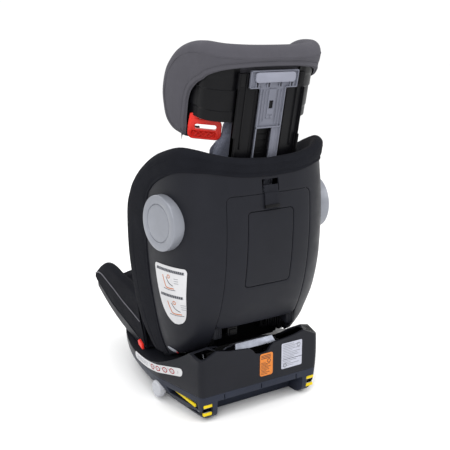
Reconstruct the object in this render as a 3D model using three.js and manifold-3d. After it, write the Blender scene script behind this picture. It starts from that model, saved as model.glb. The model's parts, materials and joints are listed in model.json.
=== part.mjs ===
// Child car seat with a harness, a raised headrest and an anchored base.
// Millimetres, +Z up. The floor under the base is z = 0, the child faces -Y and the child's left is +X.
import * as THREE from 'three';
import { mergeVertices } from 'three/addons/utils/BufferGeometryUtils.js';
import Module from 'manifold-3d';

const wasm = await Module();
wasm.setup();

// ---- Driving dimensions ----------------------------------------------------------------------
const GAP = 0.3;                 // clearance between touching pieces
const SKIN_GAP = 0.8;            // clearance between curved skins that follow each other
const ANCHOR_X = 140;            // half the 280 mm spacing of a car's lower anchorages
const RECLINE_Y = -30;           // axis that the seat swings about when it reclines
const RECLINE_Z = 470;
const CRADLE_R = 392;            // hollow in the top of the base
const PAN_R = 387;               // round underside of the seat
const AXLE_R = 410;              // radius at which the recline axles run
const REAR_Y = 245;              // flat rear wall of the base
const SEAM_Z = 62;               // joint between the base's housing and its tray
const BASE_TOP = 168;
const LEAN = THREE.MathUtils.degToRad(12);   // slope of the backrest and of the headrest's slide
const SLIDE_Y = 242;             // rear face of the height adjuster, where the lean is measured
const SLIDE_Z = 574;
const WALL = 5;
const ARC_STEPS = 6;             // segments in a quarter of a round corner

// ---- Small geometry library ------------------------------------------------------------------
function asSolid(geometry) {
  const bare = geometry.clone();
  bare.deleteAttribute('normal');
  bare.deleteAttribute('uv');
  const merged = mergeVertices(bare, 1e-4);
  const triVerts = new Uint32Array(merged.index.array);
  const vertProperties = new Float32Array(merged.attributes.position.array);
  return new wasm.Manifold(new wasm.Mesh({ numProp: 3, vertProperties, triVerts }));
}

function asGeometry(solid) {
  const { vertProperties, triVerts } = solid.getMesh();
  const geometry = new THREE.BufferGeometry();
  geometry.setAttribute('position', new THREE.BufferAttribute(vertProperties, 3));
  geometry.setIndex(new THREE.BufferAttribute(triVerts, 1));
  return geometry;
}

function without(body, ...tools) {
  return asGeometry(tools.reduce((left, tool) => left.subtract(asSolid(tool)), asSolid(body)));
}

function joined(body, ...others) {
  return asGeometry(others.reduce((sum, other) => sum.add(asSolid(other)), asSolid(body)));
}

function common(body, ...others) {
  return asGeometry(others.reduce((rest, other) => rest.intersect(asSolid(other)), asSolid(body)));
}

function mirrored(geometry) {
  const copy = geometry.index ? geometry.clone() : mergeVertices(geometry.clone());
  copy.scale(-1, 1, 1);
  const order = copy.index.array;
  for (let i = 0; i < order.length; i += 3) {
    [order[i], order[i + 1]] = [order[i + 1], order[i]];
  }
  return copy;
}

function block(x0, x1, y0, y1, z0, z1) {
  return new THREE.BoxGeometry(x1 - x0, y1 - y0, z1 - z0)
    .translate((x0 + x1) / 2, (y0 + y1) / 2, (z0 + z1) / 2);
}

function outline(points) {
  return new THREE.Shape(points.map(([u, v]) => new THREE.Vector2(u, v)));
}

function smoothOutline(points, steps) {
  const curve = new THREE.SplineCurve(points.map(([u, v]) => new THREE.Vector2(u, v)));
  return curve.getPoints(steps).map((p) => [p.x, p.y]);
}

function roundedOutline(u0, u1, v0, v1, r) {
  const shape = new THREE.Shape();
  shape.absarc(u1 - r, v0 + r, r, -Math.PI / 2, 0, false);
  shape.absarc(u1 - r, v1 - r, r, 0, Math.PI / 2, false);
  shape.absarc(u0 + r, v1 - r, r, Math.PI / 2, Math.PI, false);
  shape.absarc(u0 + r, v0 + r, r, Math.PI, 1.5 * Math.PI, false);
  return shape;
}

function extruded(shape, length) {
  return new THREE.ExtrudeGeometry(shape, { depth: length, bevelEnabled: false, curveSegments: ARC_STEPS });
}

// A side view (y, z) carried along X.
function alongX(shape, x0, x1) {
  const turn = new THREE.Matrix4().set(0, 0, 1, x0, 1, 0, 0, 0, 0, 1, 0, 0, 0, 0, 0, 1);
  return extruded(shape, x1 - x0).applyMatrix4(turn);
}

// A rear view (x, z) carried along Y.
function alongY(shape, y0, y1) {
  const turn = new THREE.Matrix4().set(1, 0, 0, 0, 0, 0, -1, y1, 0, 1, 0, 0, 0, 0, 0, 1);
  return extruded(shape, y1 - y0).applyMatrix4(turn);
}

function alongZ(shape, z0, z1) {
  return extruded(shape, z1 - z0).translate(0, 0, z0);
}

function rodAlongX(radius, x0, x1, y, z, sides = 20) {
  return new THREE.CylinderGeometry(radius, radius, x1 - x0, sides)
    .rotateZ(-Math.PI / 2)
    .translate((x0 + x1) / 2, y, z);
}

// Part of a ring about the recline axis, its angles measured from straight down towards +Y.
function reclineArc(inner, outer, fromDeg, toDeg, x0, x1) {
  const shape = new THREE.Shape();
  const start = THREE.MathUtils.degToRad(fromDeg - 90);
  const end = THREE.MathUtils.degToRad(toDeg - 90);
  shape.absarc(RECLINE_Y, RECLINE_Z, outer, start, end, false);
  shape.absarc(RECLINE_Y, RECLINE_Z, inner, end, start, true);
  return alongX(shape, x0, x1);
}

function reclinePoint(radius, deg) {
  const angle = THREE.MathUtils.degToRad(deg);
  return [RECLINE_Y + radius * Math.sin(angle), RECLINE_Z - radius * Math.cos(angle)];
}

// A closed skin through a stack of rings that all have the same number of points.
function loft(rings) {
  const count = rings[0].length;
  const position = [];
  const index = [];
  rings.flat().forEach((p) => position.push(...p));
  for (let level = 0; level + 1 < rings.length; level += 1) {
    for (let i = 0; i < count; i += 1) {
      const a = level * count + i;
      const b = level * count + ((i + 1) % count);
      index.push(a, b, b + count, a, b + count, a + count);
    }
  }
  const contour = rings[0].map((p) => new THREE.Vector2(p[0], p[1]));
  const top = (rings.length - 1) * count;
  for (const [a, b, c] of THREE.ShapeUtils.triangulateShape(contour, [])) {
    index.push(c, b, a, top + a, top + b, top + c);
  }
  const geometry = new THREE.BufferGeometry();
  geometry.setAttribute('position', new THREE.Float32BufferAttribute(position, 3));
  geometry.setIndex(index);
  return geometry;
}

// A smooth value along a short list of [place, value] knots.
function knots(list) {
  const curve = new THREE.SplineCurve(list.map(([at, value]) => new THREE.Vector2(at, value)));
  return (at) => {
    if (at <= list[0][0]) return list[0][1];
    if (at >= list[list.length - 1][0]) return list[list.length - 1][1];
    let low = 0;
    let high = 1;
    for (let i = 0; i < 24; i += 1) {
      const middle = (low + high) / 2;
      if (curve.getPoint(middle).x < at) low = middle;
      else high = middle;
    }
    return curve.getPoint(low).y;
  };
}

// Half of a superellipse: from +X round the +Y side to -X.
function rearArch(halfWidth, depth, startY, power, steps) {
  const points = [];
  for (let i = 0; i <= steps; i += 1) {
    const angle = (Math.PI * i) / steps;
    const across = Math.cos(angle);
    const back = Math.max(Math.sin(angle), 0);
    points.push([
      halfWidth * Math.sign(across) * Math.abs(across) ** (2 / power),
      startY + depth * back ** (2 / power),
    ]);
  }
  return points;
}

const assembly = new THREE.Group();
const headrestGroup = new THREE.Group();
headrestGroup.position.set(0, SLIDE_Y, SLIDE_Z);
headrestGroup.rotation.x = -LEAN;
assembly.add(headrestGroup);

const black = { color: 0x1b1c1f, roughness: 0.55, metalness: 0 };
const darkBlue = { color: 0x23262c, roughness: 0.6, metalness: 0 };
const steel = { color: 0xa9acb3, roughness: 0.35, metalness: 1 };
const silver = { color: 0xb9bcc0, roughness: 0.35, metalness: 0.6 };
const greyPlastic = { color: 0x8d909a, roughness: 0.5, metalness: 0 };
const greyFabric = { color: 0x55535a, roughness: 0.95, metalness: 0 };
const blackFabric = { color: 0x1a1a1d, roughness: 0.95, metalness: 0 };
const webbing = { color: 0x202022, roughness: 0.85, metalness: 0 };
const red = { color: 0xc8231b, roughness: 0.4, metalness: 0 };
const yellow = { color: 0xe2c413, roughness: 0.45, metalness: 0 };
const white = { color: 0xd9d9d6, roughness: 0.5, metalness: 0 };

function piece(name, geometry, look, parent = assembly) {
  const mesh = new THREE.Mesh(geometry, new THREE.MeshStandardMaterial(look));
  mesh.name = name;
  parent.add(mesh);
}

function pair(name, geometry, look, parent = assembly) {
  piece(`${name}_left`, geometry, look, parent);
  piece(`${name}_right`, mirrored(geometry), look, parent);
}

// ---- Base --------------------------------------------------------------------------------------
const baseWidthAt = knots([
  [0, 148], [10, 156], [20, 165], [45, 180], [75, 187], [112, 187], [140, 178], [BASE_TOP, 164],
]);
const baseCornerX = knots([[0, 144], [12, 153], [25, 157], [BASE_TOP, 157]]);
const baseRearAt = knots([[0, 217], [5, 230], [12, 240], [22, REAR_Y]]);
const CORNER_R = 12;
const BASE_MID_Y = 100;
const BASE_FRONT_Y = -246;

function basePlan(z, inset) {
  const halfWidth = baseWidthAt(z) - inset;
  const rearCorner = new THREE.Vector2(baseCornerX(z) - inset, baseRearAt(z) - inset);
  const widest = new THREE.Vector2(halfWidth, BASE_MID_Y);
  const before = widest.clone().sub(rearCorner).setLength(CORNER_R).add(rearCorner);
  const after = rearCorner.clone().sub(new THREE.Vector2(CORNER_R, 0));
  const bend = new THREE.QuadraticBezierCurve(before, rearCorner, after).getPoints(5).map((p) => [p.x, p.y]);
  const rear = [[halfWidth, BASE_MID_Y], ...bend, ...bend.map(([x, y]) => [-x, y]).reverse(),
    [-halfWidth, BASE_MID_Y]];
  const frontDepth = BASE_MID_Y - BASE_FRONT_Y - inset - (187 - baseWidthAt(z)) * 0.6;
  const front = rearArch(halfWidth, frontDepth, 0, 2.5, 14).slice(1, -1).reverse();
  return [...rear, ...front.map(([x, y]) => [x, BASE_MID_Y - y])].map(([x, y]) => [x, y, z]);
}

function baseLoft(levels, inset) {
  return loft(levels.map((z) => basePlan(z, inset)));
}

const cradle = rodAlongX(CRADLE_R, -250, 250, RECLINE_Y, RECLINE_Z, 120);
const underDeck = rodAlongX(CRADLE_R + WALL, -250, 250, RECLINE_Y, RECLINE_Z, 120);
const housingLevels = [SEAM_Z, 75, 95, 112, 140, 155, BASE_TOP];
const CHANNEL_X = 98;
const LEVER_Z = 116;

function buildHousing() {
  const skin = without(baseLoft(housingLevels, 0), cradle);
  const inside = without(baseLoft([SEAM_Z - 2, 75, 95, 112, 140, BASE_TOP - WALL], WALL), underDeck);
  const channel = block(-CHANNEL_X, CHANNEL_X, -206, REAR_Y - 8, SEAM_Z - 2, BASE_TOP + 2);
  const leverSlot = block(-16, 16, -280, -200, LEVER_Z - 5, LEVER_Z + 5);
  const notch = alongY(outline([
    [-150, 200], [-150, 172], [-128, 168], [-84, 157], [-40, 152], [-24, 144], [-12, 132], [12, 132],
    [24, 144], [40, 152], [84, 157], [128, 168], [150, 172], [150, 200],
  ]), 150, 260);
  return without(skin, inside, channel, leverSlot, notch);
}
piece('base_housing', buildHousing(), black);

// The tray under the housing carries the anchor tunnels; its underside is raised between the rear feet.
const TUNNEL = { x0: ANCHOR_X - 15.5, x1: ANCHOR_X + 12, z0: 12, z1: 45 };
const KNOB_Y = 84;
const KNOB_Z = 27;
const FOOT_X = 116;

function tunnelOn(side) {
  const x0 = side > 0 ? TUNNEL.x0 : -TUNNEL.x1;
  return block(x0, x0 + TUNNEL.x1 - TUNNEL.x0, -70, 260, TUNNEL.z0, TUNNEL.z1);
}

function buildTray() {
  const skin = baseLoft([0, 5, 12, 22, 45, SEAM_Z - GAP], 0);
  const well = alongZ(roundedOutline(-112, 112, -205, 182, 20), 6, SEAM_Z + 5);
  const rearRelief = alongX(outline([[192, -5], [204, 46], [270, 46], [270, -5]]), -FOOT_X, FOOT_X);
  const knobHole = rodAlongX(19, ANCHOR_X, ANCHOR_X + 60, KNOB_Y, KNOB_Z);
  const sideSlot = block(ANCHOR_X, ANCHOR_X + 60, 122, 226, 29, 46);
  return without(skin, well, rearRelief, tunnelOn(1), tunnelOn(-1), knobHole, mirrored(knobHole),
    sideSlot, mirrored(sideSlot));
}
piece('base_tray', buildTray(), darkBlue);

// Folded steel plate that ties the two anchor sides together behind the recline track.
function buildCrossPlate() {
  const fold = outline([
    [158, 117], [159.5, 114.2], [222, 140], [229, 128], [231.6, 129.5], [223.5, 144],
  ]);
  return alongX(fold, -84, 84);
}
piece('cross_plate', buildCrossPlate(), steel);

// Slotted steel plates that the recline axles run in.
function buildTrack() {
  const plate = reclineArc(AXLE_R - 14, AXLE_R + 14, -24.5, 26, 92, 95);
  const frontSlot = reclineArc(AXLE_R - 6, AXLE_R + 6, -22.2, -4.9, 90, 97);
  const rearSlot = reclineArc(AXLE_R - 6, AXLE_R + 6, 6, 23.4, 90, 97);
  return without(plate, frontSlot, rearSlot);
}
pair('recline_track', buildTrack(), steel);

// A printed band low on each flank with the marks of the recline positions.
const BAND_HEIGHT = 18;

function buildBand() {
  const levels = housingLevels.slice(0, 4);
  const layer = without(baseLoft(levels, -1.6), baseLoft(levels, -0.7));
  const lower = smoothOutline([[-26, 63], [40, 66.5], [120, 79], [198, 95]], 12);
  const upper = lower.map(([y, z]) => [y, z + BAND_HEIGHT]).reverse();
  return common(layer, alongX(outline([...lower, ...upper]), 100, 230));
}
pair('position_band', buildBand(), white);

// Yellow mouths of the anchor tunnels.
function buildMouth() {
  const { x0, x1, z0, z1 } = TUNNEL;
  const ring = block(x0 + GAP, x1 - GAP, REAR_Y - 20, REAR_Y - 5, z0 + GAP, z1 - GAP);
  const way = block(x0 + 2.5, x1 - 1.8, REAR_Y - 25, REAR_Y + 5, 16, 41);
  return without(ring, way);
}
pair('isofix_guide', buildMouth(), yellow);

// ---- Anchor arms -------------------------------------------------------------------------------
const ARM_Z = 28.5;

function buildArm() {
  const side = outline([
    [-60, ARM_Z - 9], [186, ARM_Z - 9], [192, ARM_Z - 11.5], [238, ARM_Z - 11.5], [240, ARM_Z - 9],
    [240, ARM_Z - 4], [216, ARM_Z - 4], [213, ARM_Z], [216, ARM_Z + 4], [240, ARM_Z + 4],
    [240, ARM_Z + 9], [238, ARM_Z + 11.5], [192, ARM_Z + 11.5], [186, ARM_Z + 9], [-60, ARM_Z + 9],
  ]);
  return alongX(side, ANCHOR_X - 12, ANCHOR_X + 8);
}
pair('isofix_arm', buildArm(), steel);

// Round ribbed knob on each flank that frees the arm.
const KNOB_X = 162.5;
const KNOB_R = 17.5;

function buildKnob() {
  const profile = [[0, -9], [12, -9], [12, 4], [KNOB_R, 4], [KNOB_R, 17], [KNOB_R - 2.5, 20], [0, 20]];
  return new THREE.LatheGeometry(profile.map(([r, h]) => new THREE.Vector2(r, h)), 24)
    .rotateZ(-Math.PI / 2)
    .translate(KNOB_X, KNOB_Y, KNOB_Z);
}
pair('isofix_release', buildKnob(), greyPlastic);

// ---- Seat shell --------------------------------------------------------------------------------
const shellWidthAt = knots([[60, 140], [100, 156], [130, 168], [168, 178], [200, 184], [260, 192], [332, 196],
  [450, 196], [540, 194], [640, 188]]);
const shellRearAt = knots([[60, 122], [100, 152], [130, 176], [168, 207], [200, 225], [260, 251], [332, 268],
  [420, 275], [500, 271], [540, 266], [640, 256]]);
const SHELL_WALL = 6;
const SHELL_SIDE_Y = 50;
const SHELL_FRONT_Y = -80;
const SHELL_LEVELS = [60, 100, 130, 168, 200, 260, 332, 400, 450, 500, 540, 580, 640];

function shellPath(z, offset) {
  const halfWidth = shellWidthAt(z) + offset;
  const arch = rearArch(halfWidth, shellRearAt(z) + offset - SHELL_SIDE_Y, SHELL_SIDE_Y, 3.7, 18);
  return [[halfWidth - 5, SHELL_FRONT_Y], ...arch, [5 - halfWidth, SHELL_FRONT_Y]];
}

// The wrap-round wall of the backrest between two offsets from its outer face.
function shellLayer(outer, inner) {
  return loft(SHELL_LEVELS.map((z) => [
    ...shellPath(z, outer),
    ...shellPath(z, inner).reverse(),
  ].map(([x, y]) => [x, y, z])));
}

// Side view of the backrest's edge, grown by a margin.
function edgeProfile(margin) {
  const front = smoothOutline([
    [300, 598], [215, 597 + margin], [150, 583 + margin], [95, 560 + margin], [48, 526 + margin * 0.8],
    [14, 490 + margin * 0.5], [-3 - margin, 440], [-6 - margin, 380], [-2 - margin, 300], [8 - margin, 220],
    [28 - margin, 160], [60 - margin, 60],
  ], 22);
  return [[300, 40], [300, 598 + margin], ...front.slice(1), [60 - margin, 40]];
}

// Rear view of the top edge: lower in the middle than at the shoulders.
function topProfile(margin) {
  const half = smoothOutline([[0, 566], [70, 569], [120, 579], [155, 592], [185, 598]], 10)
    .map(([x, z]) => [x, z + margin]);
  const other = half.slice(1).map(([x, z]) => [-x, z]).reverse();
  return [...other, ...half, [230, 600 + margin], [230, 20], [-230, 20], [-230, 600 + margin]].reverse();
}

function trimmed(layer, margin) {
  return common(layer, alongX(outline(edgeProfile(margin)), -240, 240),
    alongY(outline(topProfile(margin)), -80, 320));
}

const seatRound = rodAlongX(PAN_R, -250, 250, RECLINE_Y, RECLINE_Z, 120);
const PANEL = { x: 107, z0: 201, z1: 503, r: 14 };
const DOOR = { x: 58, z0: 300, z1: 467, r: 9 };
const GUARD = { x: 193, y: 157, z: 440, yaw: THREE.MathUtils.degToRad(10.6), r: 60, depth: 21 };

function atGuard(geometry) {
  return geometry.clone().rotateZ(GUARD.yaw).translate(GUARD.x, GUARD.y, GUARD.z);
}

function rectY(half, z0, z1, r, y0 = 120, y1 = 300) {
  return alongY(roundedOutline(-half, half, z0, z1, r), y0, y1);
}

function buildBackShell() {
  const wall = common(trimmed(shellLayer(0, -SHELL_WALL), 0), seatRound);
  const lowerWindow = block(-104, 104, 60, 300, 0, PANEL.z0 + 20);
  const strapWindow = rectY(21, 508, 534, 4);
  const guardHole = atGuard(rodAlongX(GUARD.r + 1, -13, 60, 0, 0, 36));
  const cup = common(atGuard(rodAlongX(GUARD.r + 4.5, -15.5, 20, 0, 0, 36)), trimmed(shellLayer(0, -70), 0));
  return without(joined(wall, cup, mirrored(cup)), lowerWindow, rectY(PANEL.x, PANEL.z0, PANEL.z1, PANEL.r),
    strapWindow, guardHole, mirrored(guardHole));
}
piece('back_shell', buildBackShell(), black);

function buildBackPanel() {
  const skin = common(shellLayer(0, -4), rectY(PANEL.x - 0.8, PANEL.z0 + 0.8, PANEL.z1 - 0.8, PANEL.r));
  const strapSlit = block(-19, 19, 200, 300, DOOR.z1 - 2, DOOR.z1 + 4);
  return without(skin, rectY(DOOR.x, DOOR.z0, DOOR.z1, DOOR.r), strapSlit);
}
piece('back_panel', buildBackPanel(), black);

// ---- Storage compartment -----------------------------------------------------------------------
const storageDoor = common(shellLayer(0, -4),
  rectY(DOOR.x - 0.8, DOOR.z0 + 0.8, DOOR.z1 - 0.8, DOOR.r));
piece('storage_door', storageDoor, black);

function buildBin() {
  const outside = common(shellLayer(-4 - SKIN_GAP, -90), block(-70, 70, 232, 300, 290, 477));
  const inside = block(-67, 67, 235, 300, 293, 474);
  return without(outside, inside);
}
piece('storage_bin', buildBin(), black);

// ---- Side impact guards ------------------------------------------------------------------------
function buildGuard() {
  const profile = [[0, -2.5], [42, -2.5], [42, 3], [GUARD.r - 3, 3], [GUARD.r, 6], [GUARD.r, GUARD.depth - 3],
    [GUARD.r - 3, GUARD.depth], [GUARD.r - 13, GUARD.depth], [GUARD.r - 15, GUARD.depth - 2.5],
    [0, GUARD.depth - 2.5]];
  return atGuard(new THREE.LatheGeometry(profile.map(([r, h]) => new THREE.Vector2(r, h)), 36)
    .rotateZ(-Math.PI / 2));
}
pair('side_guard', buildGuard(), silver);

// ---- Seat pan, frame and recline gear ----------------------------------------------------------
function panSection(inset) {
  const side = [[150, 40], [159, 110], [167, 165], [174, 215], [177, 270]].map(([x, z]) => [x - inset, z]);
  const mirror = side.map(([x, z]) => [-x, z]).reverse();
  return outline([...mirror, ...side]);
}

const PAN_REAR_Y = -18;          // the bucket's sides end here, in front of the backrest's edge
const PAN_SIDE = smoothOutline([
  [40, 184], [-40, 200], [-110, 224], [-180, 240], [-235, 230], [-264, 207], [-274, 182], [-276, 168],
], 16);

function buildSeatPan() {
  const sideView = outline([[40, 60], ...PAN_SIDE, [-270, 60]].reverse());
  const bucket = common(alongY(panSection(0), -290, PAN_REAR_Y), alongX(sideView, -200, 200), seatRound);
  const innerRound = rodAlongX(PAN_R - WALL, -250, 250, RECLINE_Y, RECLINE_Z, 120);
  const inside = common(alongY(panSection(WALL), -262, PAN_REAR_Y + 20), innerRound);
  const frontCut = block(-150, 150, -300, -250, 176, 300);
  const floor = without(common(block(-122, 122, PAN_REAR_Y - 10, 117, 40, 150), seatRound), innerRound);
  return joined(without(bucket, inside, frontCut), floor);
}
piece('seat_pan', buildSeatPan(), black);

// Points of the leaning backrest plane: y at height z, shifted square to the plane.
function leaning(z, shift) {
  return [SLIDE_Y + (z - SLIDE_Z) * Math.tan(LEAN) + shift / Math.cos(LEAN), z];
}

// Inner wall of the backrest with the guide channel that the headrest carrier slides in.
function buildBackFrame() {
  const front = -24;
  const profile = outline([
    leaning(120, front), leaning(120, front + 6), leaning(510, front + 6), leaning(510, front),
  ].reverse());
  const wall = alongX(profile, -122, 122);
  const rail = outline([
    leaning(225, front), leaning(225, 10), leaning(510, 10), leaning(510, front),
  ].reverse());
  const railLeft = alongX(rail, 84, 92);
  const buckleSlot = block(-25, 25, 0, 300, 380, 396);
  return without(joined(wall, railLeft, mirrored(railLeft)), buckleSlot);
}
piece('back_frame', buildBackFrame(), black);

function buildCarriage() {
  const body = reclineArc(PAN_R + GAP, AXLE_R + 9, -9, 26, -86, 86);
  const pockets = [-54, 0, 54].map((x) => reclineArc(PAN_R + 6, AXLE_R + 20, -3, 19, x - 22, x + 22));
  const bores = [-6, 22.3].map((deg) => rodAlongX(5.3, -90, 90, ...reclinePoint(AXLE_R, deg)));
  return without(body, ...pockets, ...bores);
}
piece('recline_carriage', buildCarriage(), black);
piece('recline_axle_front', rodAlongX(5, -97, 97, ...reclinePoint(AXLE_R, -6)), steel);
piece('recline_axle_rear', rodAlongX(5, -97, 97, ...reclinePoint(AXLE_R, 22.3)), steel);

// Pull lever in the front of the base that frees the recline.
function buildLever() {
  const grip = alongX(roundedOutline(-274, -251, LEVER_Z - 7, LEVER_Z + 7, 6), -45, 45);
  const stem = block(-13, 13, -258, -213, LEVER_Z - 3.5, LEVER_Z + 3.5);
  return joined(grip, stem);
}
piece('recline_lever', buildLever(), greyPlastic);

// Small pieces on the flanks of the shell.
function onShell(profile, outer, inner, x0, x1) {
  return common(shellLayer(outer, inner), alongX(profile, x0, x1));
}

const labelShape = outline(smoothOutline([
  [118, 346], [124, 310], [138, 262], [160, 234], [184, 226], [205, 240], [216, 290], [222, 352],
], 16));
pair('side_label', onShell(labelShape, SKIN_GAP + 1, SKIN_GAP, 100, 230), white);

const pointerShape = new THREE.Shape();
pointerShape.absellipse(128, 136, 13, 5.5, 0, 2 * Math.PI, false, -0.32);
pair('recline_pointer', onShell(pointerShape, SKIN_GAP + 2, SKIN_GAP, 100, 230), silver);

function buildLapGuide() {
  const tab = outline([[2, 108], [22, 102], [20, 114], [4, 122], [-2, 116]]);
  return alongX(tab, 181, 187);
}
pair('lap_belt_guide', buildLapGuide(), red);

// ---- Top tether webbing ------------------------------------------------------------------------
function buildTether() {
  const layer = common(shellLayer(SKIN_GAP + 1.6, SKIN_GAP), block(-18, 18, 200, 300, 467, 521));
  const tail = block(-18, 18, 262.5, 275, 467, 468.6);
  return joined(layer, tail);
}
piece('tether_strap', buildTether(), webbing);

// ---- Cloth over the backrest's edge and the cushions -------------------------------------------
function hemProfile() {
  const hem = smoothOutline([
    [300, 545], [235, 546], [170, 538], [118, 512], [90, 470], [84, 420], [85, 340], [92, 250], [100, 190],
    [106, 130], [110, 60],
  ], 18);
  return outline([[300, 30], ...hem, [110, 30]].reverse());
}

function buildRimCover() {
  const band = trimmed(shellLayer(9, -SHELL_WALL - 6), 10);
  const keepClear = trimmed(shellLayer(GAP, -SHELL_WALL - GAP), SKIN_GAP);
  const hem = alongX(hemProfile(), -240, 240);
  const rearOpening = rectY(150, 100, 538, 40, 150, 320);
  const belowLap = block(-240, 240, -100, 320, 0, 160);
  return without(band, keepClear, hem, rearOpening, belowLap);
}
piece('rim_cover', buildRimCover(), blackFabric);

const ADJUSTER_Y = -240;
function buildSeatCushion() {
  const top = smoothOutline([[112, 208], [20, 203], [-80, 206], [-180, 213], [-240, 209], [-268, 198],
    [-279, 184]], 14);
  const under = smoothOutline([[-254, 166], [-200, 131], [-120, 103], [-30, 92], [60, 100], [112, 118]], 10);
  const body = alongX(outline([...top, [-279, 177.5], [-254, 177.5], ...under].reverse()), -128, 128);
  return without(body, block(-17, 17, ADJUSTER_Y - 13, ADJUSTER_Y + 13, 196, 240));
}
piece('seat_cushion', buildSeatCushion(), blackFabric);
const adjusterButton = alongZ(roundedOutline(-14, 14, ADJUSTER_Y - 10, ADJUSTER_Y + 10, 5), 200, 214);
piece('adjuster_button', adjusterButton, greyPlastic);

// Padded wings along the sides of the seat.
function buildSeatBolster() {
  const upper = smoothOutline([
    [PAN_REAR_Y, 222], [-60, 231], [-118, 243], [-194, 254], [-233, 242], [-252, 225], [-258, 200],
  ], 14);
  const lower = smoothOutline([[-256, 172], [-200, 140], [-120, 118], [PAN_REAR_Y, 112]], 6);
  const wing = alongX(outline([...upper, ...lower].reverse()), 130, 190);
  const room = alongY(panSection(WALL + 0.6), -300, 60);
  return common(wing, room);
}
pair('seat_bolster', buildSeatBolster(), blackFabric);

// Cushion down the middle of the backrest, standing on the seat cushion.
function buildBackCushion() {
  const front = -46;
  const back = -25;
  const profile = outline([
    leaning(214, back), leaning(498, back), leaning(508, back - 8), leaning(498, front), leaning(214, front),
  ]);
  return alongX(profile, -118, 118);
}
piece('back_cushion', buildBackCushion(), blackFabric);

function buildSideCushion() {
  const front = smoothOutline([
    [102, 226], [76, 232], [56, 260], [46, 320], [50, 380], [72, 412], [110, 420],
  ], 14);
  const wing = common(shellLayer(-SHELL_WALL - 7, -SHELL_WALL - 34),
    alongX(outline([...front, leaning(420, -50), leaning(226, -50)].reverse()), 124, 200));
  return without(wing, atGuard(rodAlongX(GUARD.r + 6, -16.5, 60, 0, 0, 24)));
}
pair('side_cushion', buildSideCushion(), blackFabric);

// ---- Headrest, drawn in its own leaning frame --------------------------------------------------
// Here z runs up the slide, y = 0 is the rear face of the height adjuster and z = 0 is level with
// the top of the backrest.
const HEAD = { halfWidth: 146, rear: 4, sideY: -72, power: 2.5, flare: 15, frontY: -200 };
const CARRIER = { x: 81, z0: -190, z1: 178, y0: -12, y1: -3.3 };

function headPath(offset) {
  const half = HEAD.halfWidth + offset;
  const arch = rearArch(half, HEAD.rear + offset - HEAD.sideY, HEAD.sideY, HEAD.power, 14);
  const middleY = (HEAD.frontY + HEAD.sideY) / 2;
  return [[half + HEAD.flare, HEAD.frontY], [half + HEAD.flare * 0.6, middleY], ...arch,
    [-half - HEAD.flare * 0.6, middleY], [-half - HEAD.flare, HEAD.frontY]];
}

// The wrap-round wall of the headrest between two offsets; the top is rounded over.
const ROUND_START = 205;
const ROUND_HEIGHT = 45;
const ROUND_DEPTH = 14;

function headLayer(outer, inner) {
  const ring = (z) => {
    const rise = Math.max(z - ROUND_START, 0) / ROUND_HEIGHT;
    const over = -ROUND_DEPTH * (1 - Math.sqrt(Math.max(1 - rise ** 2, 0)));
    return [...headPath(outer + over), ...headPath(inner + over).reverse()].map(([x, y]) => [x, y, z]);
  };
  return loft([0, ROUND_START, 220, 232, 246].map(ring));
}

// Side view of the headrest's wing, shrunk by a margin.
function wingProfile(margin) {
  return outline(smoothOutline([
    [20, 231 - margin], [-60, 230 - margin], [-106, 219 - margin], [-143 + margin * 0.7, 198 - margin * 0.7],
    [-167 + margin, 172], [-181 + margin, 144], [-186 + margin, 105], [-179 + margin, 74],
    [-164 + margin * 0.7, 46 + margin * 0.7], [-136, 29 + margin], [-103, 24 + margin], [-60, 26 + margin],
    [20, 30 + margin],
  ], 26));
}

function headTopProfile(margin) {
  const top = 231 - margin;
  return outline([[-200, -20], [200, -20], [200, top], [100, top - 1], [-100, top - 1], [-200, top]]);
}

function headTrimmed(layer, margin) {
  return common(layer, alongX(wingProfile(margin), -190, 190), alongY(headTopProfile(margin), -220, 30));
}

// The cover is cut away behind the wings, up to a hem that runs over the height adjuster.
function buildHeadCover() {
  const skin = headTrimmed(headLayer(0, -8), 0);
  const window = alongY(roundedOutline(-160, 160, 0, 189, 30), -34, 30);
  const wingHem = smoothOutline([[-89, 0], [-92, 60], [-92, 108], [-83, 131], [-60, 152], [-30, 168]], 10);
  const wingWindow = alongX(outline([...wingHem, [30, 168], [30, 0]].reverse()), -170, 170);
  return without(skin, window, wingWindow);
}
piece('headrest_cover', buildHeadCover(), greyFabric, headrestGroup);

// The wings reach lower than the middle, which is open for the belt guides.
function lowerGap() {
  return [block(-150.5, 150.5, -102, 30, 0, 74), block(-128, 128, -200, 30, 0, 88)];
}

function buildHeadShell() {
  const wall = headTrimmed(headLayer(-9, -13), 10);
  const carrierWay = block(-CARRIER.x - 1, CARRIER.x + 1, -20, 20, 0, 190);
  return without(wall, carrierWay, ...lowerGap());
}
piece('headrest_shell', buildHeadShell(), black, headrestGroup);

const headrestPad = without(headTrimmed(headLayer(-17, -40), 12), ...lowerGap());
piece('headrest_pad', headrestPad, greyFabric, headrestGroup);

// Quilted apron under the headrest, with two slots for the harness.
const STRAP_X = 34;

function buildNeckPad() {
  const slab = alongX(roundedOutline(-63, -47.5, -100, 84, 7), -102, 102);
  const front = alongY(outline([
    [-102, -100], [102, -100], [102, 2], [74, 32], [64, 84], [-64, 84], [-74, 32], [-102, 2],
  ]), -70, -40);
  const slots = [-STRAP_X, STRAP_X].map((x) => block(x - 21, x + 21, -90, -20, 1, 8));
  return without(common(slab, front), ...slots);
}
piece('neck_pad', buildNeckPad(), greyFabric, headrestGroup);

function buildCarrier() {
  const plate = block(-CARRIER.x, CARRIER.x, CARRIER.y0, CARRIER.y1, CARRIER.z0, CARRIER.z1);
  const window = block(-7, 26, -20, 0, -160, 62);
  return without(plate, window);
}
piece('headrest_carrier', buildCarrier(), black, headrestGroup);

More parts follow.
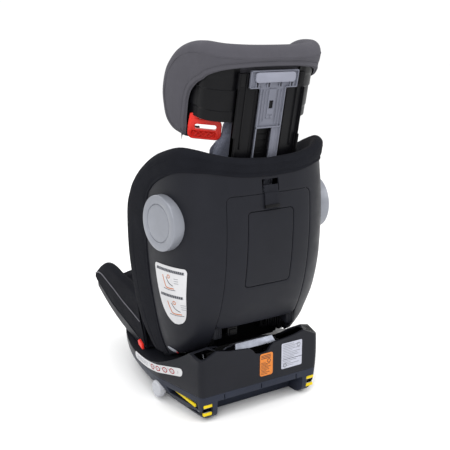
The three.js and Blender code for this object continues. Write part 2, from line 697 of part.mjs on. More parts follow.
// T-shaped height adjuster: a wide head for the handle and a stem that forks into two legs.
function buildAdjuster() {
  const legs = 31;
  const shape = outline([
    [-legs, -170], [-9, -170], [-9, 67], [28, 67], [28, -170], [legs, -170], [legs, 142], [legs + 2, 148],
    [58, 148], [58, 184], [-58, 184], [-58, 148], [-legs - 2, 148], [-legs, 142],
  ]);
  const plate = alongY(shape, -3, 3);
  const headRecess = block(-55, 55, 0, 5, 151, 190);
  const window = block(-2, 9, -5, 5, 94, 108);
  const channel = block(14, 20, 0.5, 5, 80, 140);
  const rightChannel = block(-29, -13, 0.5, 5, -168, 140);
  return without(plate, headRecess, window, channel, rightChannel);
}
piece('adjuster_plate', buildAdjuster(), greyPlastic, headrestGroup);

piece('adjuster_handle', alongY(roundedOutline(-48, 48, 160, 181, 7), 0.4, 8), greyPlastic, headrestGroup);

// Red hook under each wing that the car's shoulder belt runs through; its outer end points forward.
const GUIDE = { x: 80, y: -48.5, depth: 12, length: 64, turn: 0.52 };

function buildBeltGuide() {
  const ring = roundedOutline(0, GUIDE.length, 30, 72, 12);
  const gap = roundedOutline(10, GUIDE.length - 14, 46, 65, 6);
  const body = without(alongY(ring, -GUIDE.depth, 0), alongY(gap, -40, 20));
  return body.clone().rotateZ(-GUIDE.turn).translate(GUIDE.x, GUIDE.y, 0);
}
pair('belt_guide', buildBeltGuide(), red, headrestGroup);

// ---- Harness -----------------------------------------------------------------------------------
// The upper webbing slides down inside the shoulder pads with the headrest.
function buildUpperStrap() {
  const side = outline([
    [-46, 3.5], [-66, 3.5], [-70.2, -1], [-70.2, -140], [-71.8, -140], [-71.8, -0.5], [-66.5, 5.5],
    [-46, 5.5],
  ].reverse());
  return alongX(side, STRAP_X - 19, STRAP_X + 19);
}
pair('upper_strap', buildUpperStrap(), webbing, headrestGroup);

function buildShoulderPad() {
  const sleeve = alongX(roundedOutline(-85, -64, -168, -6, 7), 10, 58);
  return without(sleeve, block(13, 55, -77.5, -69, -200, 10));
}
pair('shoulder_pad', buildShoulderPad(), blackFabric, headrestGroup);

// A flat band through stations that each give a centre, a half-width direction and a half-thickness one.
function webbingBand(stations) {
  const position = [];
  const index = [];
  for (const [centre, side, face] of stations) {
    for (const [u, v] of [[-1, -1], [1, -1], [1, 1], [-1, 1]]) {
      position.push(...centre.map((c, axis) => c + u * side[axis] + v * face[axis]));
    }
  }
  const last = (stations.length - 1) * 4;
  for (let start = 0; start < last; start += 4) {
    for (let i = 0; i < 4; i += 1) {
      const a = start + i;
      const b = start + ((i + 1) % 4);
      index.push(a, b, b + 4, a, b + 4, a + 4);
    }
  }
  index.push(2, 1, 0, 3, 2, 0, last, last + 1, last + 2, last, last + 2, last + 3);
  const geometry = new THREE.BufferGeometry();
  geometry.setAttribute('position', new THREE.Float32BufferAttribute(position, 3));
  geometry.setIndex(index);
  return geometry;
}

// The buckle leans back towards the child on its crotch strap.
const BUCKLE = { y: -62, z: 214, lean: THREE.MathUtils.degToRad(60) };
const buckleGroup = new THREE.Group();
buckleGroup.position.set(0, BUCKLE.y, BUCKLE.z);
buckleGroup.rotation.x = -BUCKLE.lean;
assembly.add(buckleGroup);

function buildBuckle() {
  const body = alongY(roundedOutline(-29, 29, 30, 96, 10), -11, 11);
  const buttonWell = block(-13, 13, -20, -4, 42, 74);
  const tongueSlots = [-16, 16].map((x) => block(x - 11.5, x + 11.5, -3, 3, 84, 100));
  return without(body, buttonWell, ...tongueSlots);
}
piece('buckle_housing', buildBuckle(), black, buckleGroup);
piece('buckle_button', alongY(roundedOutline(-12, 12, 43, 73, 4), -13.5, -8), red, buckleGroup);
piece('crotch_strap', block(-19, 19, -1, 1, 3, 29.5), webbing, buckleGroup);

function buildTongue() {
  const plate = alongY(outline([
    [5, 85], [26, 85], [26, 98], [31, 104], [31, 119], [2, 119], [2, 104], [5, 98],
  ]), -1.5, 1.5);
  return without(plate, block(6, 27, -4, 4, 108, 115));
}
pair('buckle_tongue', buildTongue(), steel, buckleGroup);

// One length of webbing per side: down from the shoulder pad to the tongue, then out to the hip.
function atBuckle(x, y, z) {
  const cos = Math.cos(BUCKLE.lean);
  const sin = Math.sin(BUCKLE.lean);
  return [x, BUCKLE.y + y * cos + z * sin, BUCKLE.z - y * sin + z * cos];
}

function atHeadrest(x, y, z) {
  const cos = Math.cos(LEAN);
  const sin = Math.sin(LEAN);
  return [x, SLIDE_Y + y * cos + z * sin, SLIDE_Z - y * sin + z * cos];
}

function buildHarness() {
  const turn = atBuckle(16.5, 0, 137);
  const shoulder = webbingBand([
    [atHeadrest(34, -74.5, -160), [19, 0, 0], [0, -0.7, 0.1]],
    [atHeadrest(34, -74.5, -322), [19, 0, 0], [0, -0.5, 0.5]],
    [[27, 78, 262], [17, 0, 0], [0, -0.05, 0.7]],
    [turn, [12, 0, 0], [0, 0.1, 0.7]],
  ]);
  const lap = webbingBand([
    [[turn[0] - 2, turn[1] - 1, turn[2]], [0, 8, 3], [0.3, -0.25, 0.6]],
    [[58, 14, 282], [3, 14, 4], [0.55, -0.2, 0.4]],
    [[112, 48, 224], [2, 16, 2], [0.6, -0.1, 0.35]],
    [[116, 52, 214], [0, 17, 1], [0.7, 0, 0.1]],
  ]);
  return joined(shoulder, lap);
}
pair('harness_strap', buildHarness(), webbing);

export default assembly;
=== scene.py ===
# A child car seat with its headrest raised: every visible piece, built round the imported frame.
# Lengths are millimetres. +X is the child's left, the seat faces -Y, and the floor is z = 0.
import json
import math
from contextlib import contextmanager

import bmesh
import bpy
import numpy as np
from mathutils import Matrix, Vector
from mathutils.bvhtree import BVHTree

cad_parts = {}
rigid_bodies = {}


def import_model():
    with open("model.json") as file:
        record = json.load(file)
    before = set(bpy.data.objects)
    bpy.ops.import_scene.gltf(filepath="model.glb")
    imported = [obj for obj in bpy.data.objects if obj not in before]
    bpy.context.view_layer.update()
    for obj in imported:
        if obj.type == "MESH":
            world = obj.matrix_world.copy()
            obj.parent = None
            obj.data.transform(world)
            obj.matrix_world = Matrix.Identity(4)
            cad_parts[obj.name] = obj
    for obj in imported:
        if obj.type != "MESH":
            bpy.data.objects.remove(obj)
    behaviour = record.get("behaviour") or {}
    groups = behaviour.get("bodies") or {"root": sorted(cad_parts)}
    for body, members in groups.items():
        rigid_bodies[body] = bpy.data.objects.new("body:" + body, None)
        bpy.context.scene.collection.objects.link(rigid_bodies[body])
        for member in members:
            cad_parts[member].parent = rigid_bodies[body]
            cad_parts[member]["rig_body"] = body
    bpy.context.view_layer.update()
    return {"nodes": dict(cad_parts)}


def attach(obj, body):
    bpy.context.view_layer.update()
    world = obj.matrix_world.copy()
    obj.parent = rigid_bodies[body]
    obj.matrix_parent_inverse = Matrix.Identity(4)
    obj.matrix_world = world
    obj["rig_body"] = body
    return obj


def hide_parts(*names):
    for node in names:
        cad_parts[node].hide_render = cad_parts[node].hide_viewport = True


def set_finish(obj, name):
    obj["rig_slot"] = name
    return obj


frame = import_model()
nodes = frame["nodes"]
scene = bpy.context.scene
MM = 0.001

# ---- Places shared with the frame ---------------------------------------------------------------
SIDES = ((1, "left"), (-1, "right"))
# the headrest leans back on its slide; in its leaning frame y is rearward and z is up the slide
LEAN = math.radians(12)
SLIDE = np.array([0.0, 242.0, 574.0])
TILT = np.array([0, math.cos(LEAN), -math.sin(LEAN)])
# in plan the backrest and the headrest are superellipses of power P behind SIDE_Y
SHELL_P, SHELL_SIDE_Y = 3.7, 50.0
HEAD_P, HEAD_SIDE_Y, HEAD_HALF, HEAD_DEPTH = 2.5, -72.0, 146.0, 76.0
# the seat rocks about the cradle's axis on its pan
CRADLE_Y, CRADLE_Z, CRADLE_R, PAN_R, PAN_WELL_R = -30.0, 470.0, 392, 387.0, 397
REAR_Y = 245.0
WALL = 5.0  # of the backrest shell and of the base housing


def spline(points, count):
    """count points of a Catmull-Rom curve through the given ones."""
    p = np.array(points, float)
    last = len(p) - 1
    t = np.linspace(0, last, count)
    i = np.minimum(np.floor(t).astype(int), last - 1)
    w = (t - i)[:, None]
    p0, p1, p2, p3 = p[np.maximum(i - 1, 0)], p[i], p[i + 1], p[np.minimum(i + 2, last)]
    v0, v1 = (p2 - p0) / 2, (p3 - p1) / 2
    return (2 * p1 - 2 * p2 + v0 + v1) * w**3 + (3 * p2 - 3 * p1 - 2 * v0 - v1) * w**2 + v0 * w + p1


def knots(points):
    """A smooth function of one number through (number, value) points."""
    curve = spline(points, 400)
    return lambda at: np.interp(at, curve[:, 0], curve[:, 1])


def smooth_step(low, high, value):
    """0 up to low, 1 from high on, and a soft ramp between."""
    t = np.clip((np.asarray(value, float) - low) / (high - low), 0, 1)
    return t * t * (3 - 2 * t)


# ---- Materials ----------------------------------------------------------------------------------
def linear(srgb):
    return [((c / 255 + 0.055) / 1.055) ** 2.4 if c / 255 > 0.04045 else c / 255 / 12.92
            for c in srgb]


class Nodes:
    """Short calls for building one material's node tree."""

    def __init__(self, name):
        self.material = bpy.data.materials.new(name)
        self.material.use_nodes = True
        self.tree = self.material.node_tree
        self.tree.nodes.clear()
        self.output = self.add("ShaderNodeOutputMaterial")
        self.shader = self.add("ShaderNodeBsdfPrincipled")
        self.tree.links.new(self.shader.outputs[0], self.output.inputs["Surface"])
        self.coords = self.add("ShaderNodeTexCoord")
        self.place = self.coords.outputs["Object"]

    def add(self, kind, **settings):
        node = self.tree.nodes.new(kind)
        for key, value in settings.items():
            setattr(node, key, value)
        return node

    def link(self, source, target):
        if hasattr(source, "outputs"):
            source = source.outputs[0]
        self.tree.links.new(source, target)

    def set(self, target, value):
        if isinstance(value, (int, float, list, tuple)):
            target.default_value = value
        else:
            self.link(value, target)

    def math(self, operation, a, b=0.0, clamp=False):
        node = self.add("ShaderNodeMath", operation=operation, use_clamp=clamp)
        self.set(node.inputs[0], a)
        self.set(node.inputs[1], b)
        return node.outputs[0]

    def noise(self, scale, detail=2.0, rough=0.5, vector=None):
        node = self.add("ShaderNodeTexNoise")
        node.inputs["Scale"].default_value = scale
        node.inputs["Detail"].default_value = detail
        node.inputs["Roughness"].default_value = rough
        self.link(vector or self.place, node.inputs["Vector"])
        return node.outputs["Fac"]

    def remap(self, value, low, high, out_low, out_high):
        node = self.add("ShaderNodeMapRange", clamp=True)
        self.set(node.inputs["Value"], value)
        for key, number in (("From Min", low), ("From Max", high), ("To Min", out_low),
                            ("To Max", out_high)):
            node.inputs[key].default_value = number
        return node.outputs["Result"]

    def mix(self, factor, a, b):
        node = self.add("ShaderNodeMix", data_type="RGBA")
        self.set(node.inputs["Factor"], factor)
        self.set(node.inputs[6], a)
        self.set(node.inputs[7], b)
        return node.outputs[2]

    def bump(self, height, strength, distance, normal=None):
        node = self.add("ShaderNodeBump")
        node.inputs["Strength"].default_value = strength
        node.inputs["Distance"].default_value = distance
        self.link(height, node.inputs["Height"])
        if normal is not None:
            self.link(normal, node.inputs["Normal"])
        return node.outputs["Normal"]


def rgba(srgb, gain=1.0):
    return [min(c * gain, 1.0) for c in linear(srgb)] + [1.0]


# The fifth argument sets the strength of a highlight painted into the colour along the edges.
def plastic(name, srgb, rough=0.45, grain=0.12, edge_highlight=0.35, coat=0.0, metal=0.0, shine=0.14):
    n = Nodes(name)
    cloud = n.noise(9.0, 4.0, 0.6)
    fine = n.noise(420.0, 3.0, 0.6)
    base = n.mix(n.remap(cloud, 0.3, 0.7, 0.0, 1.0), rgba(srgb, 0.88), rgba(srgb, 1.12))
    bevel = n.add("ShaderNodeBevel", samples=4)
    bevel.inputs["Radius"].default_value = 0.0012
    geometry = n.add("ShaderNodeNewGeometry")
    facing = n.add("ShaderNodeVectorMath", operation="DOT_PRODUCT")
    n.link(bevel.outputs[0], facing.inputs[0])
    n.link(geometry.outputs["Normal"], facing.inputs[1])
    # Painted highlight: the colour is lightened along bevelled edges, in noisy patches, towards a
    # lighter copy of the plastic's colour.
    edge = n.remap(facing.outputs["Value"], 0.995, 0.85, 0.0, edge_highlight)
    edge = n.math("MULTIPLY", edge, n.remap(n.noise(60.0, 3.0), 0.35, 0.65, 0.4, 1.0))
    highlight_colour = [0.5 * c + 0.5 * min(c * 1.9 + 0.02, 1.0) for c in linear(srgb)] + [1.0]
    n.link(n.mix(edge, base, highlight_colour), n.shader.inputs["Base Color"])
    n.link(n.remap(n.noise(35.0, 4.0, 0.65), 0.3, 0.7, rough - 0.06, rough + 0.07),
           n.shader.inputs["Roughness"])
    n.link(n.bump(fine, grain, 0.0004, bevel.outputs[0]), n.shader.inputs["Normal"])
    n.shader.inputs["Metallic"].default_value = metal
    n.shader.inputs["Specular IOR Level"].default_value = shine
    if coat:
        n.shader.inputs["Coat Weight"].default_value = coat
        n.shader.inputs["Coat Roughness"].default_value = 0.25
    return n.material


def metal(name, srgb, rough=0.3):
    n = Nodes(name)
    stretch = n.add("ShaderNodeMapping")
    stretch.inputs["Scale"].default_value = (40.0, 900.0, 900.0)
    n.link(n.place, stretch.inputs["Vector"])
    lines = n.noise(1.0, 3.0, 0.6, stretch.outputs[0])
    spots = n.noise(70.0, 3.0)
    n.link(n.mix(n.remap(spots, 0.35, 0.65, 0.0, 1.0), rgba(srgb, 0.85), rgba(srgb, 1.1)),
           n.shader.inputs["Base Color"])
    n.link(n.remap(lines, 0.3, 0.7, rough - 0.08, rough + 0.12), n.shader.inputs["Roughness"])
    n.link(n.bump(lines, 0.15, 0.0003), n.shader.inputs["Normal"])
    n.shader.inputs["Metallic"].default_value = 1.0
    return n.material


def cloth(name, srgb, pitch=1.7, depth=0.35, mottle=0.12, sheen=0.25, rough=0.9, flecks=0.0,
          fleck_rgb=(200, 200, 205)):
    """Woven or knitted cloth: threads crossing on whichever pair of axes the surface faces."""
    n = Nodes(name)
    turns = 2 * math.pi / (pitch * MM)
    parts = n.add("ShaderNodeSeparateXYZ")
    n.link(n.place, parts.inputs[0])
    wave = [n.math("SINE", n.math("MULTIPLY", parts.outputs[i], turns)) for i in range(3)]
    normal = n.add("ShaderNodeSeparateXYZ")
    n.link(n.coords.outputs["Normal"], normal.inputs[0])
    share = [n.math("MULTIPLY", normal.outputs[i], normal.outputs[i]) for i in range(3)]
    weave = 0.0
    for i, (a, b) in enumerate(((1, 2), (0, 2), (0, 1))):
        term = n.math("MULTIPLY", n.math("MULTIPLY", wave[a], wave[b]), share[i])
        weave = n.math("ADD", weave, term)
    broad = n.noise(26.0, 4.0, 0.6)
    thread = n.noise(900.0, 2.0, 0.7)
    low, high = rgba(srgb, 1 - mottle), rgba(srgb, 1 + mottle)
    colour = n.mix(n.remap(broad, 0.3, 0.7, 0.0, 1.0), low, high)
    colour = n.mix(n.remap(weave, -0.8, 0.8, 0.35, 0.0), colour, rgba(srgb, 0.55))
    colour = n.mix(n.remap(thread, 0.5, 0.8, 0.0, 0.25), colour, rgba(srgb, 1.5))
    if flecks:
        speck = n.remap(n.noise(320.0, 3.0, 0.8), 0.5, 0.66, 0.0, flecks)
        colour = n.mix(speck, colour, rgba(fleck_rgb))
    n.link(colour, n.shader.inputs["Base Color"])
    n.link(n.remap(thread, 0.3, 0.7, rough - 0.05, min(rough + 0.07, 1.0)),
           n.shader.inputs["Roughness"])
    n.shader.inputs["Sheen Weight"].default_value = sheen
    n.shader.inputs["Sheen Roughness"].default_value = 0.45
    n.shader.inputs["Specular IOR Level"].default_value = 0.06
    soft = n.bump(n.noise(55.0, 3.0, 0.55), 0.25, 0.004)
    n.link(n.bump(weave, depth, 0.0006, soft), n.shader.inputs["Normal"])
    return n.material


def webbing(name, srgb, pitch=2.2):
    """Ribbed narrow weave: slanted ribs crossed by fine threads."""
    n = Nodes(name)
    parts = n.add("ShaderNodeSeparateXYZ")
    n.link(n.place, parts.inputs[0])
    turns = 2 * math.pi / (pitch * MM)
    along = n.math("ADD", parts.outputs[2], n.math("MULTIPLY", parts.outputs[1], 0.6))
    ribs = n.math("SINE", n.math("MULTIPLY", n.math("ADD", along,
                                                    n.math("ABSOLUTE", parts.outputs[0])), turns))
    cross = n.math("SINE", n.math("MULTIPLY", parts.outputs[0], turns * 1.7))
    height = n.math("ADD", ribs, n.math("MULTIPLY", cross, 0.5))
    colour = n.mix(n.remap(height, -1.2, 1.2, 0.6, 0.0), rgba(srgb, 1.2), rgba(srgb, 0.5))
    colour = n.mix(n.remap(n.noise(50.0, 3.0), 0.4, 0.7, 0.0, 0.3), colour, rgba(srgb, 1.6))
    n.link(colour, n.shader.inputs["Base Color"])
    n.shader.inputs["Roughness"].default_value = 0.78
    n.shader.inputs["Sheen Weight"].default_value = 0.03
    n.shader.inputs["Specular IOR Level"].default_value = 0.1
    n.link(n.bump(height, 0.5, 0.0005), n.shader.inputs["Normal"])
    return n.material


M = {
    "shell": plastic("shell_black", (26, 27, 33), 0.42, 0.1, 0.25),
    "base": plastic("base_black", (25, 26, 32), 0.4, 0.1, 0.3),
    "tray": plastic("tray_black", (38, 42, 54), 0.45, 0.15, 0.3),
    "inner": plastic("inner_black", (9, 9, 11), 0.5, 0.1, 0.2),
    "gloss": plastic("inner_satin", (10, 10, 13), 0.34, 0.04, 0.25),
    "adjuster": plastic("adjuster_grey", (108, 110, 121), 0.45, 0.08, 0.35),
    "handle": plastic("handle_grey", (132, 134, 146), 0.4, 0.08, 0.35),
    "knob": plastic("knob_grey", (182, 184, 190), 0.5, 0.1, 0.2),
    "silver": plastic("silver_lacquer", (128, 131, 139), 0.35, 0.05, 0.2, 0.0, 0.2, 0.5),
    "label": plastic("label_film", (196, 196, 198), 0.4, 0.03, 0.0),
    "paper": plastic("sticker_paper", (176, 178, 190), 0.5, 0.03, 0.0),
    "orange": plastic("sticker_orange", (205, 122, 56), 0.5, 0.03, 0.0),
    "print_dark": plastic("print_dark", (50, 50, 54), 0.5, 0.03, 0.0),
    "print_grey": plastic("print_grey", (128, 130, 136), 0.5, 0.03, 0.0),
    "print_orange": plastic("print_orange", (190, 106, 50), 0.5, 0.03, 0.0),
    "print_red": plastic("print_red", (150, 26, 32), 0.5, 0.03, 0.0),
    "red": plastic("belt_red", (214, 42, 32), 0.32, 0.06, 0.45, 0.2),
    "yellow": plastic("guide_yellow", (214, 188, 26), 0.4, 0.08, 0.2),
    "steel": metal("zinc_steel", (150, 153, 160)),
    "plate": metal("folded_plate", (160, 164, 176), 0.42),
    "rim_cloth": cloth("stretch_black", (25, 26, 31), 1.5, 0.3, 0.1, 0.01),
    "seat_cloth": cloth("seat_black", (24, 25, 30), 1.9, 0.4, 0.12, 0.01),
    "mesh_cloth": cloth("mesh_black", (33, 33, 39), 3.0, 0.7, 0.1, 0.02),
    "grey_cloth": cloth("grey_cover", (79, 78, 84), 1.5, 0.3, 0.05, 0.04),
    "neck_edge": cloth("neck_border", (84, 86, 98), 1.4, 0.3, 0.1, 0.05),
    "neck_cloth": cloth("neck_mottled", (116, 120, 136), 1.6, 0.35, 0.12, 0.1, 0.9, 0.35,
                        (168, 170, 178)),
    "piping": cloth("grey_piping", (104, 104, 110), 1.0, 0.3, 0.05, 0.1),
    "thread": cloth("thread_grey", (70, 70, 76), 0.8, 0.2, 0.1, 0.1),
    "webbing": webbing("webbing_black", (26, 27, 33)),
}


# ---- Mesh helpers -------------------------------------------------------------------------------
def new_object(name, points, faces, material, sharp=None, flat=False):
    mesh = bpy.data.meshes.new(name)
    mesh.from_pydata([tuple(p) for p in np.asarray(points, float) * MM], [], faces)
    mesh.update()
    obj = bpy.data.objects.new(name, mesh)
    scene.collection.objects.link(obj)
    mesh.polygons.foreach_set("use_smooth", [not flat] * len(mesh.polygons))
    if sharp:
        mesh.set_sharp_from_angle(angle=math.radians(sharp))
    mesh.materials.append(material)
    return obj


def place(obj, body, slot=None, replaces=()):
    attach(obj, body)
    if slot:
        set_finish(obj, slot)
    if replaces:
        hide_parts(*replaces)
    return obj


def grid_faces(rows, cols, wrap=False, start=0):
    faces = []
    for r in range(rows - 1):
        for c in range(cols if wrap else cols - 1):
            a, b = r * cols + c, r * cols + (c + 1) % cols
            faces.append((start + a, start + b, start + b + cols, start + a + cols))
    return faces


def capped_faces(rows, cols):
    """Faces of a closed tube of rings, with a cap on each end."""
    last = (rows - 1) * cols
    return grid_faces(rows, cols, True) + [tuple(range(cols))[::-1],
                                           tuple(range(last, last + cols))]


def crease(obj, angle):
    """Keeps the edges sharper than the angle as hard lines."""
    obj.data.set_sharp_from_angle(angle=math.radians(angle))


def mirror(obj):
    """Makes a left-hand mesh its right-hand twin."""
    obj.data.transform(Matrix.Scale(-1, 4, (1, 0, 0)))
    obj.data.flip_normals()


def grid(name, points, material, wrap=False, sharp=None):
    """A sheet through points[row][column]."""
    p = np.asarray(points, float)
    return new_object(name, p.reshape(-1, 3), grid_faces(p.shape[0], p.shape[1], wrap), material,
                      sharp)


@contextmanager
def edited(obj):
    """The object's mesh as a bmesh, written back at the end."""
    bm = bmesh.new()
    bm.from_mesh(obj.data)
    yield bm
    bm.to_mesh(obj.data)
    bm.free()


def weld(obj, distance=0.02):
    with edited(obj) as bm:
        bmesh.ops.remove_doubles(bm, verts=bm.verts, dist=distance * MM)
        bmesh.ops.recalc_face_normals(bm, faces=bm.faces)
    return obj


def add_modifier(obj, kind, **settings):
    modifier = obj.modifiers.new(kind.lower(), kind)
    for key, value in settings.items():
        setattr(modifier, key, value)
    return modifier


def bake(obj):
    """Applies the object's modifiers to its mesh."""
    graph = bpy.context.evaluated_depsgraph_get()
    mesh = bpy.data.meshes.new_from_object(obj.evaluated_get(graph))
    obj.modifiers.clear()
    obj.data = mesh
    return obj


def solidify(obj, thickness, offset=-1.0):
    add_modifier(obj, "SOLIDIFY", thickness=thickness * MM, offset=offset, use_even_offset=True)
    return obj


def rounded(obj, width, segments=2, angle=40):
    add_modifier(obj, "BEVEL", width=width * MM, segments=segments, limit_method="ANGLE",
                 angle_limit=math.radians(angle), use_clamp_overlap=True, harden_normals=False)
    return obj


def node_copy(name, node, material):
    """A new piece with a copy of a CAD node's mesh."""
    obj = bpy.data.objects.new(name, nodes[node].data.copy())
    scene.collection.objects.link(obj)
    obj.data.materials.clear()
    obj.data.materials.append(material)
    return obj


def all_smooth(obj):
    obj.data.polygons.foreach_set("use_smooth", [True] * len(obj.data.polygons))


def refined(name, node, material, width=0.8, segments=2, angle=35, slot=None):
    """A CAD node's shape with its flat areas merged and its edges rounded."""
    obj = node_copy(name, node, material)
    with edited(obj) as bm:
        bmesh.ops.remove_doubles(bm, verts=bm.verts, dist=1e-6)
        bmesh.ops.dissolve_limit(bm, angle_limit=math.radians(0.8), verts=bm.verts, edges=bm.edges)
    all_smooth(obj)
    crease(obj, angle)
    add_modifier(obj, "BEVEL", width=width * MM, segments=segments, limit_method="ANGLE",
                 angle_limit=math.radians(angle), use_clamp_overlap=True)
    add_modifier(obj, "WEIGHTED_NORMAL", keep_sharp=True)
    return place(obj, frame_body(node), slot, [node])


def frame_body(node):
    return nodes[node]["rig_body"]


def tube(name, path, radius, material, sides=8):
    """A round cord laid along a path."""
    path = np.asarray(path, float)
    ahead = np.gradient(path, axis=0)
    ahead /= np.linalg.norm(ahead, axis=1)[:, None] + 1e-9
    up = np.array([0.13, 0.31, 0.94])
    side = np.cross(ahead, up)
    side /= np.linalg.norm(side, axis=1)[:, None] + 1e-9
    lift = np.cross(side, ahead)
    angles = np.linspace(0, 2 * math.pi, sides, endpoint=False)
    ring = path[:, None] + radius * (np.cos(angles)[None, :, None] * side[:, None]
                                     + np.sin(angles)[None, :, None] * lift[:, None])
    return new_object(name, ring.reshape(-1, 3), capped_faces(len(path), sides), material)


def join(name, objects):
    """Makes one object of several, keeping each one's material."""
    graph = bpy.context.evaluated_depsgraph_get()
    meshes = [bpy.data.meshes.new_from_object(o.evaluated_get(graph)) for o in objects]
    points, faces, indices, materials, smooth = [], [], [], [], []
    for obj, mesh in zip(objects, meshes):
        start = len(points)
        points += [tuple(obj.matrix_world @ v.co / MM) for v in mesh.vertices]
        local = []
        for m in mesh.materials:
            if m not in materials:
                materials.append(m)
            local.append(materials.index(m))
        for f in mesh.polygons:
            faces.append([start + v for v in f.vertices])
            indices.append(local[f.material_index])
            smooth.append(f.use_smooth)
    for obj in objects:
        bpy.data.objects.remove(obj)
    merged = new_object(name, points, faces, materials[0])
    for m in materials[1:]:
        merged.data.materials.append(m)
    merged.data.polygons.foreach_set("material_index", indices)
    merged.data.polygons.foreach_set("use_smooth", smooth)
    crease(merged, 40)
    return merged


# ---- Curved surfaces of the backrest and the headrest -------------------------------------------
shell_width = knots([[60, 140], [100, 156], [130, 168], [168, 178], [200, 184], [260, 192],
                     [332, 196],
                     [450, 196], [540, 194], [640, 188]])
shell_rear = knots([[60, 122], [100, 152], [130, 176], [168, 207], [200, 225], [260, 251],
                    [332, 268],
                    [420, 275], [500, 271], [540, 266], [640, 256]])


class Wrap:
    """A wall round the rear: s runs along its plan from the middle of the rear, + to +X."""

    def __init__(self, half, depth, side_y, power, taper):
        self.half, self.depth, self.taper = half, depth, taper
        self.side_y, self.power = side_y, power
        angle = np.linspace(0, math.pi / 2, 1500)
        x = half(None) * np.cos(angle) ** (2 / power)
        y = depth(None) * np.sin(angle) ** (2 / power)
        run = np.concatenate([[0], np.cumsum(np.hypot(np.diff(x), np.diff(y)))])
        self.angle, self.run, self.length = angle, run, run[-1]

    def at(self, s, z, off):
        s, z, off = np.broadcast_arrays(np.asarray(s, float), np.asarray(z, float),
                                        np.asarray(off, float))
        reach = np.abs(s)
        angle = np.interp(self.length - reach, self.run, self.angle)
        half, depth = self.half(z) + off, self.depth(z) + off
        x = half * np.cos(angle) ** (2 / self.power)
        y = self.side_y + depth * np.sin(angle) ** (2 / self.power)
        past = np.maximum(reach - self.length, 0)
        x = np.where(past > 0, half - self.taper(past), x)
        y = np.where(past > 0, self.side_y - past, y)
        return np.stack([np.sign(s + 1e-9) * x, y, z], -1)

    def s_of_x(self, x, z):
        angle = np.arccos(np.clip(abs(x) / self.half(z), 0, 1) ** (self.power / 2))
        return math.copysign(self.length - float(np.interp(angle, self.angle, self.run)), x)

    def s_of_y(self, y, z):
        if y <= self.side_y:
            return self.length + self.side_y - y
        angle = np.arcsin(np.clip((y - self.side_y) / self.depth(z), 0, 1) ** (self.power / 2))
        return self.length - float(np.interp(angle, self.angle, self.run))


shell = Wrap(lambda z: 195.0 if z is None else shell_width(z),
             lambda z: 218.0 if z is None else shell_rear(z) - SHELL_SIDE_Y,
             SHELL_SIDE_Y, SHELL_P, lambda past: past * 5 / 130)
head = Wrap(lambda z: HEAD_HALF, lambda z: HEAD_DEPTH, HEAD_SIDE_Y, HEAD_P,
            lambda past: -np.interp(past, [0, 64, 128], [0, 9, 15]))


def lean(points):
    """From the headrest's leaning frame to the part's own."""
    p = np.asarray(points, float)
    y, z = p[..., 1], p[..., 2]
    return np.stack([p[..., 0], SLIDE[1] + y * math.cos(LEAN) + z * math.sin(LEAN),
                     SLIDE[2] - y * math.sin(LEAN) + z * math.cos(LEAN)], -1)


def up_the_lean(y, z):
    """Height in the headrest's leaning frame."""
    return (y - SLIDE[1]) * math.sin(LEAN) + (z - SLIDE[2]) * math.cos(LEAN)


def mirror_curve(points):
    """Left half of an (s, z) curve from its outer end to the middle, made whole."""
    p = np.asarray(points, float)
    other = p[::-1][1:].copy()
    other[:, 0] *= -1
    return np.concatenate([p, other])


# ---- Backrest: shell, panel, door ---------------------------------------------------------------
def on_wrap(wrap, marks):
    """(s, z) points from marks that give a side view y or a rear view x with a height."""
    return np.array([[wrap.s_of_y(v, z) if kind == "y" else wrap.s_of_x(v, z), z] for kind, v,
                     z in marks])


RIM_MARKS = [("y", 52, 118), ("y", 36, 148), ("y", 21, 179), ("y", 8, 224), ("y", 0, 283),
             ("y", -9, 340),
             ("y", -13, 398), ("y", -10, 451), ("y", 6, 484), ("y", 28, 513), ("y", 65, 545),
             ("y", 112, 574),
             ("y", 155, 591), ("y", 196, 602), ("x", 155, 599), ("x", 120, 589), ("x", 70, 580),
             ("x", 0, 576)]
HEM_MARKS = [("y", 108, 118), ("y", 104, 150), ("y", 101, 190), ("y", 97, 250), ("y", 90, 300),
             ("y", 83, 362),
             ("y", 82, 400), ("y", 83, 441), ("y", 90, 486), ("y", 101, 501), ("y", 116, 514),
             ("y", 142, 529),
             ("y", 174, 543), ("y", 205, 551), ("x", 140, 552), ("x", 108, 547), ("x", 63, 540),
             ("x", 0, 537)]
HALF_COLS = 110
rim_half = spline(on_wrap(shell, RIM_MARKS), HALF_COLS)
hem_half = spline(on_wrap(shell, HEM_MARKS), HALF_COLS)
PANEL = dict(x=106.2, z0=201.8, z1=502.2, r=13.5)
DOOR = dict(x=57.2, z0=300.8, z1=466.2, r=8.5)


def rear_y(x, z, off=0.0):
    half, depth = shell_width(z) + off, shell_rear(z) - SHELL_SIDE_Y + off
    return SHELL_SIDE_Y + depth * (1 - np.clip(np.abs(x) / half, 0, 1) ** SHELL_P) ** (1 / SHELL_P)


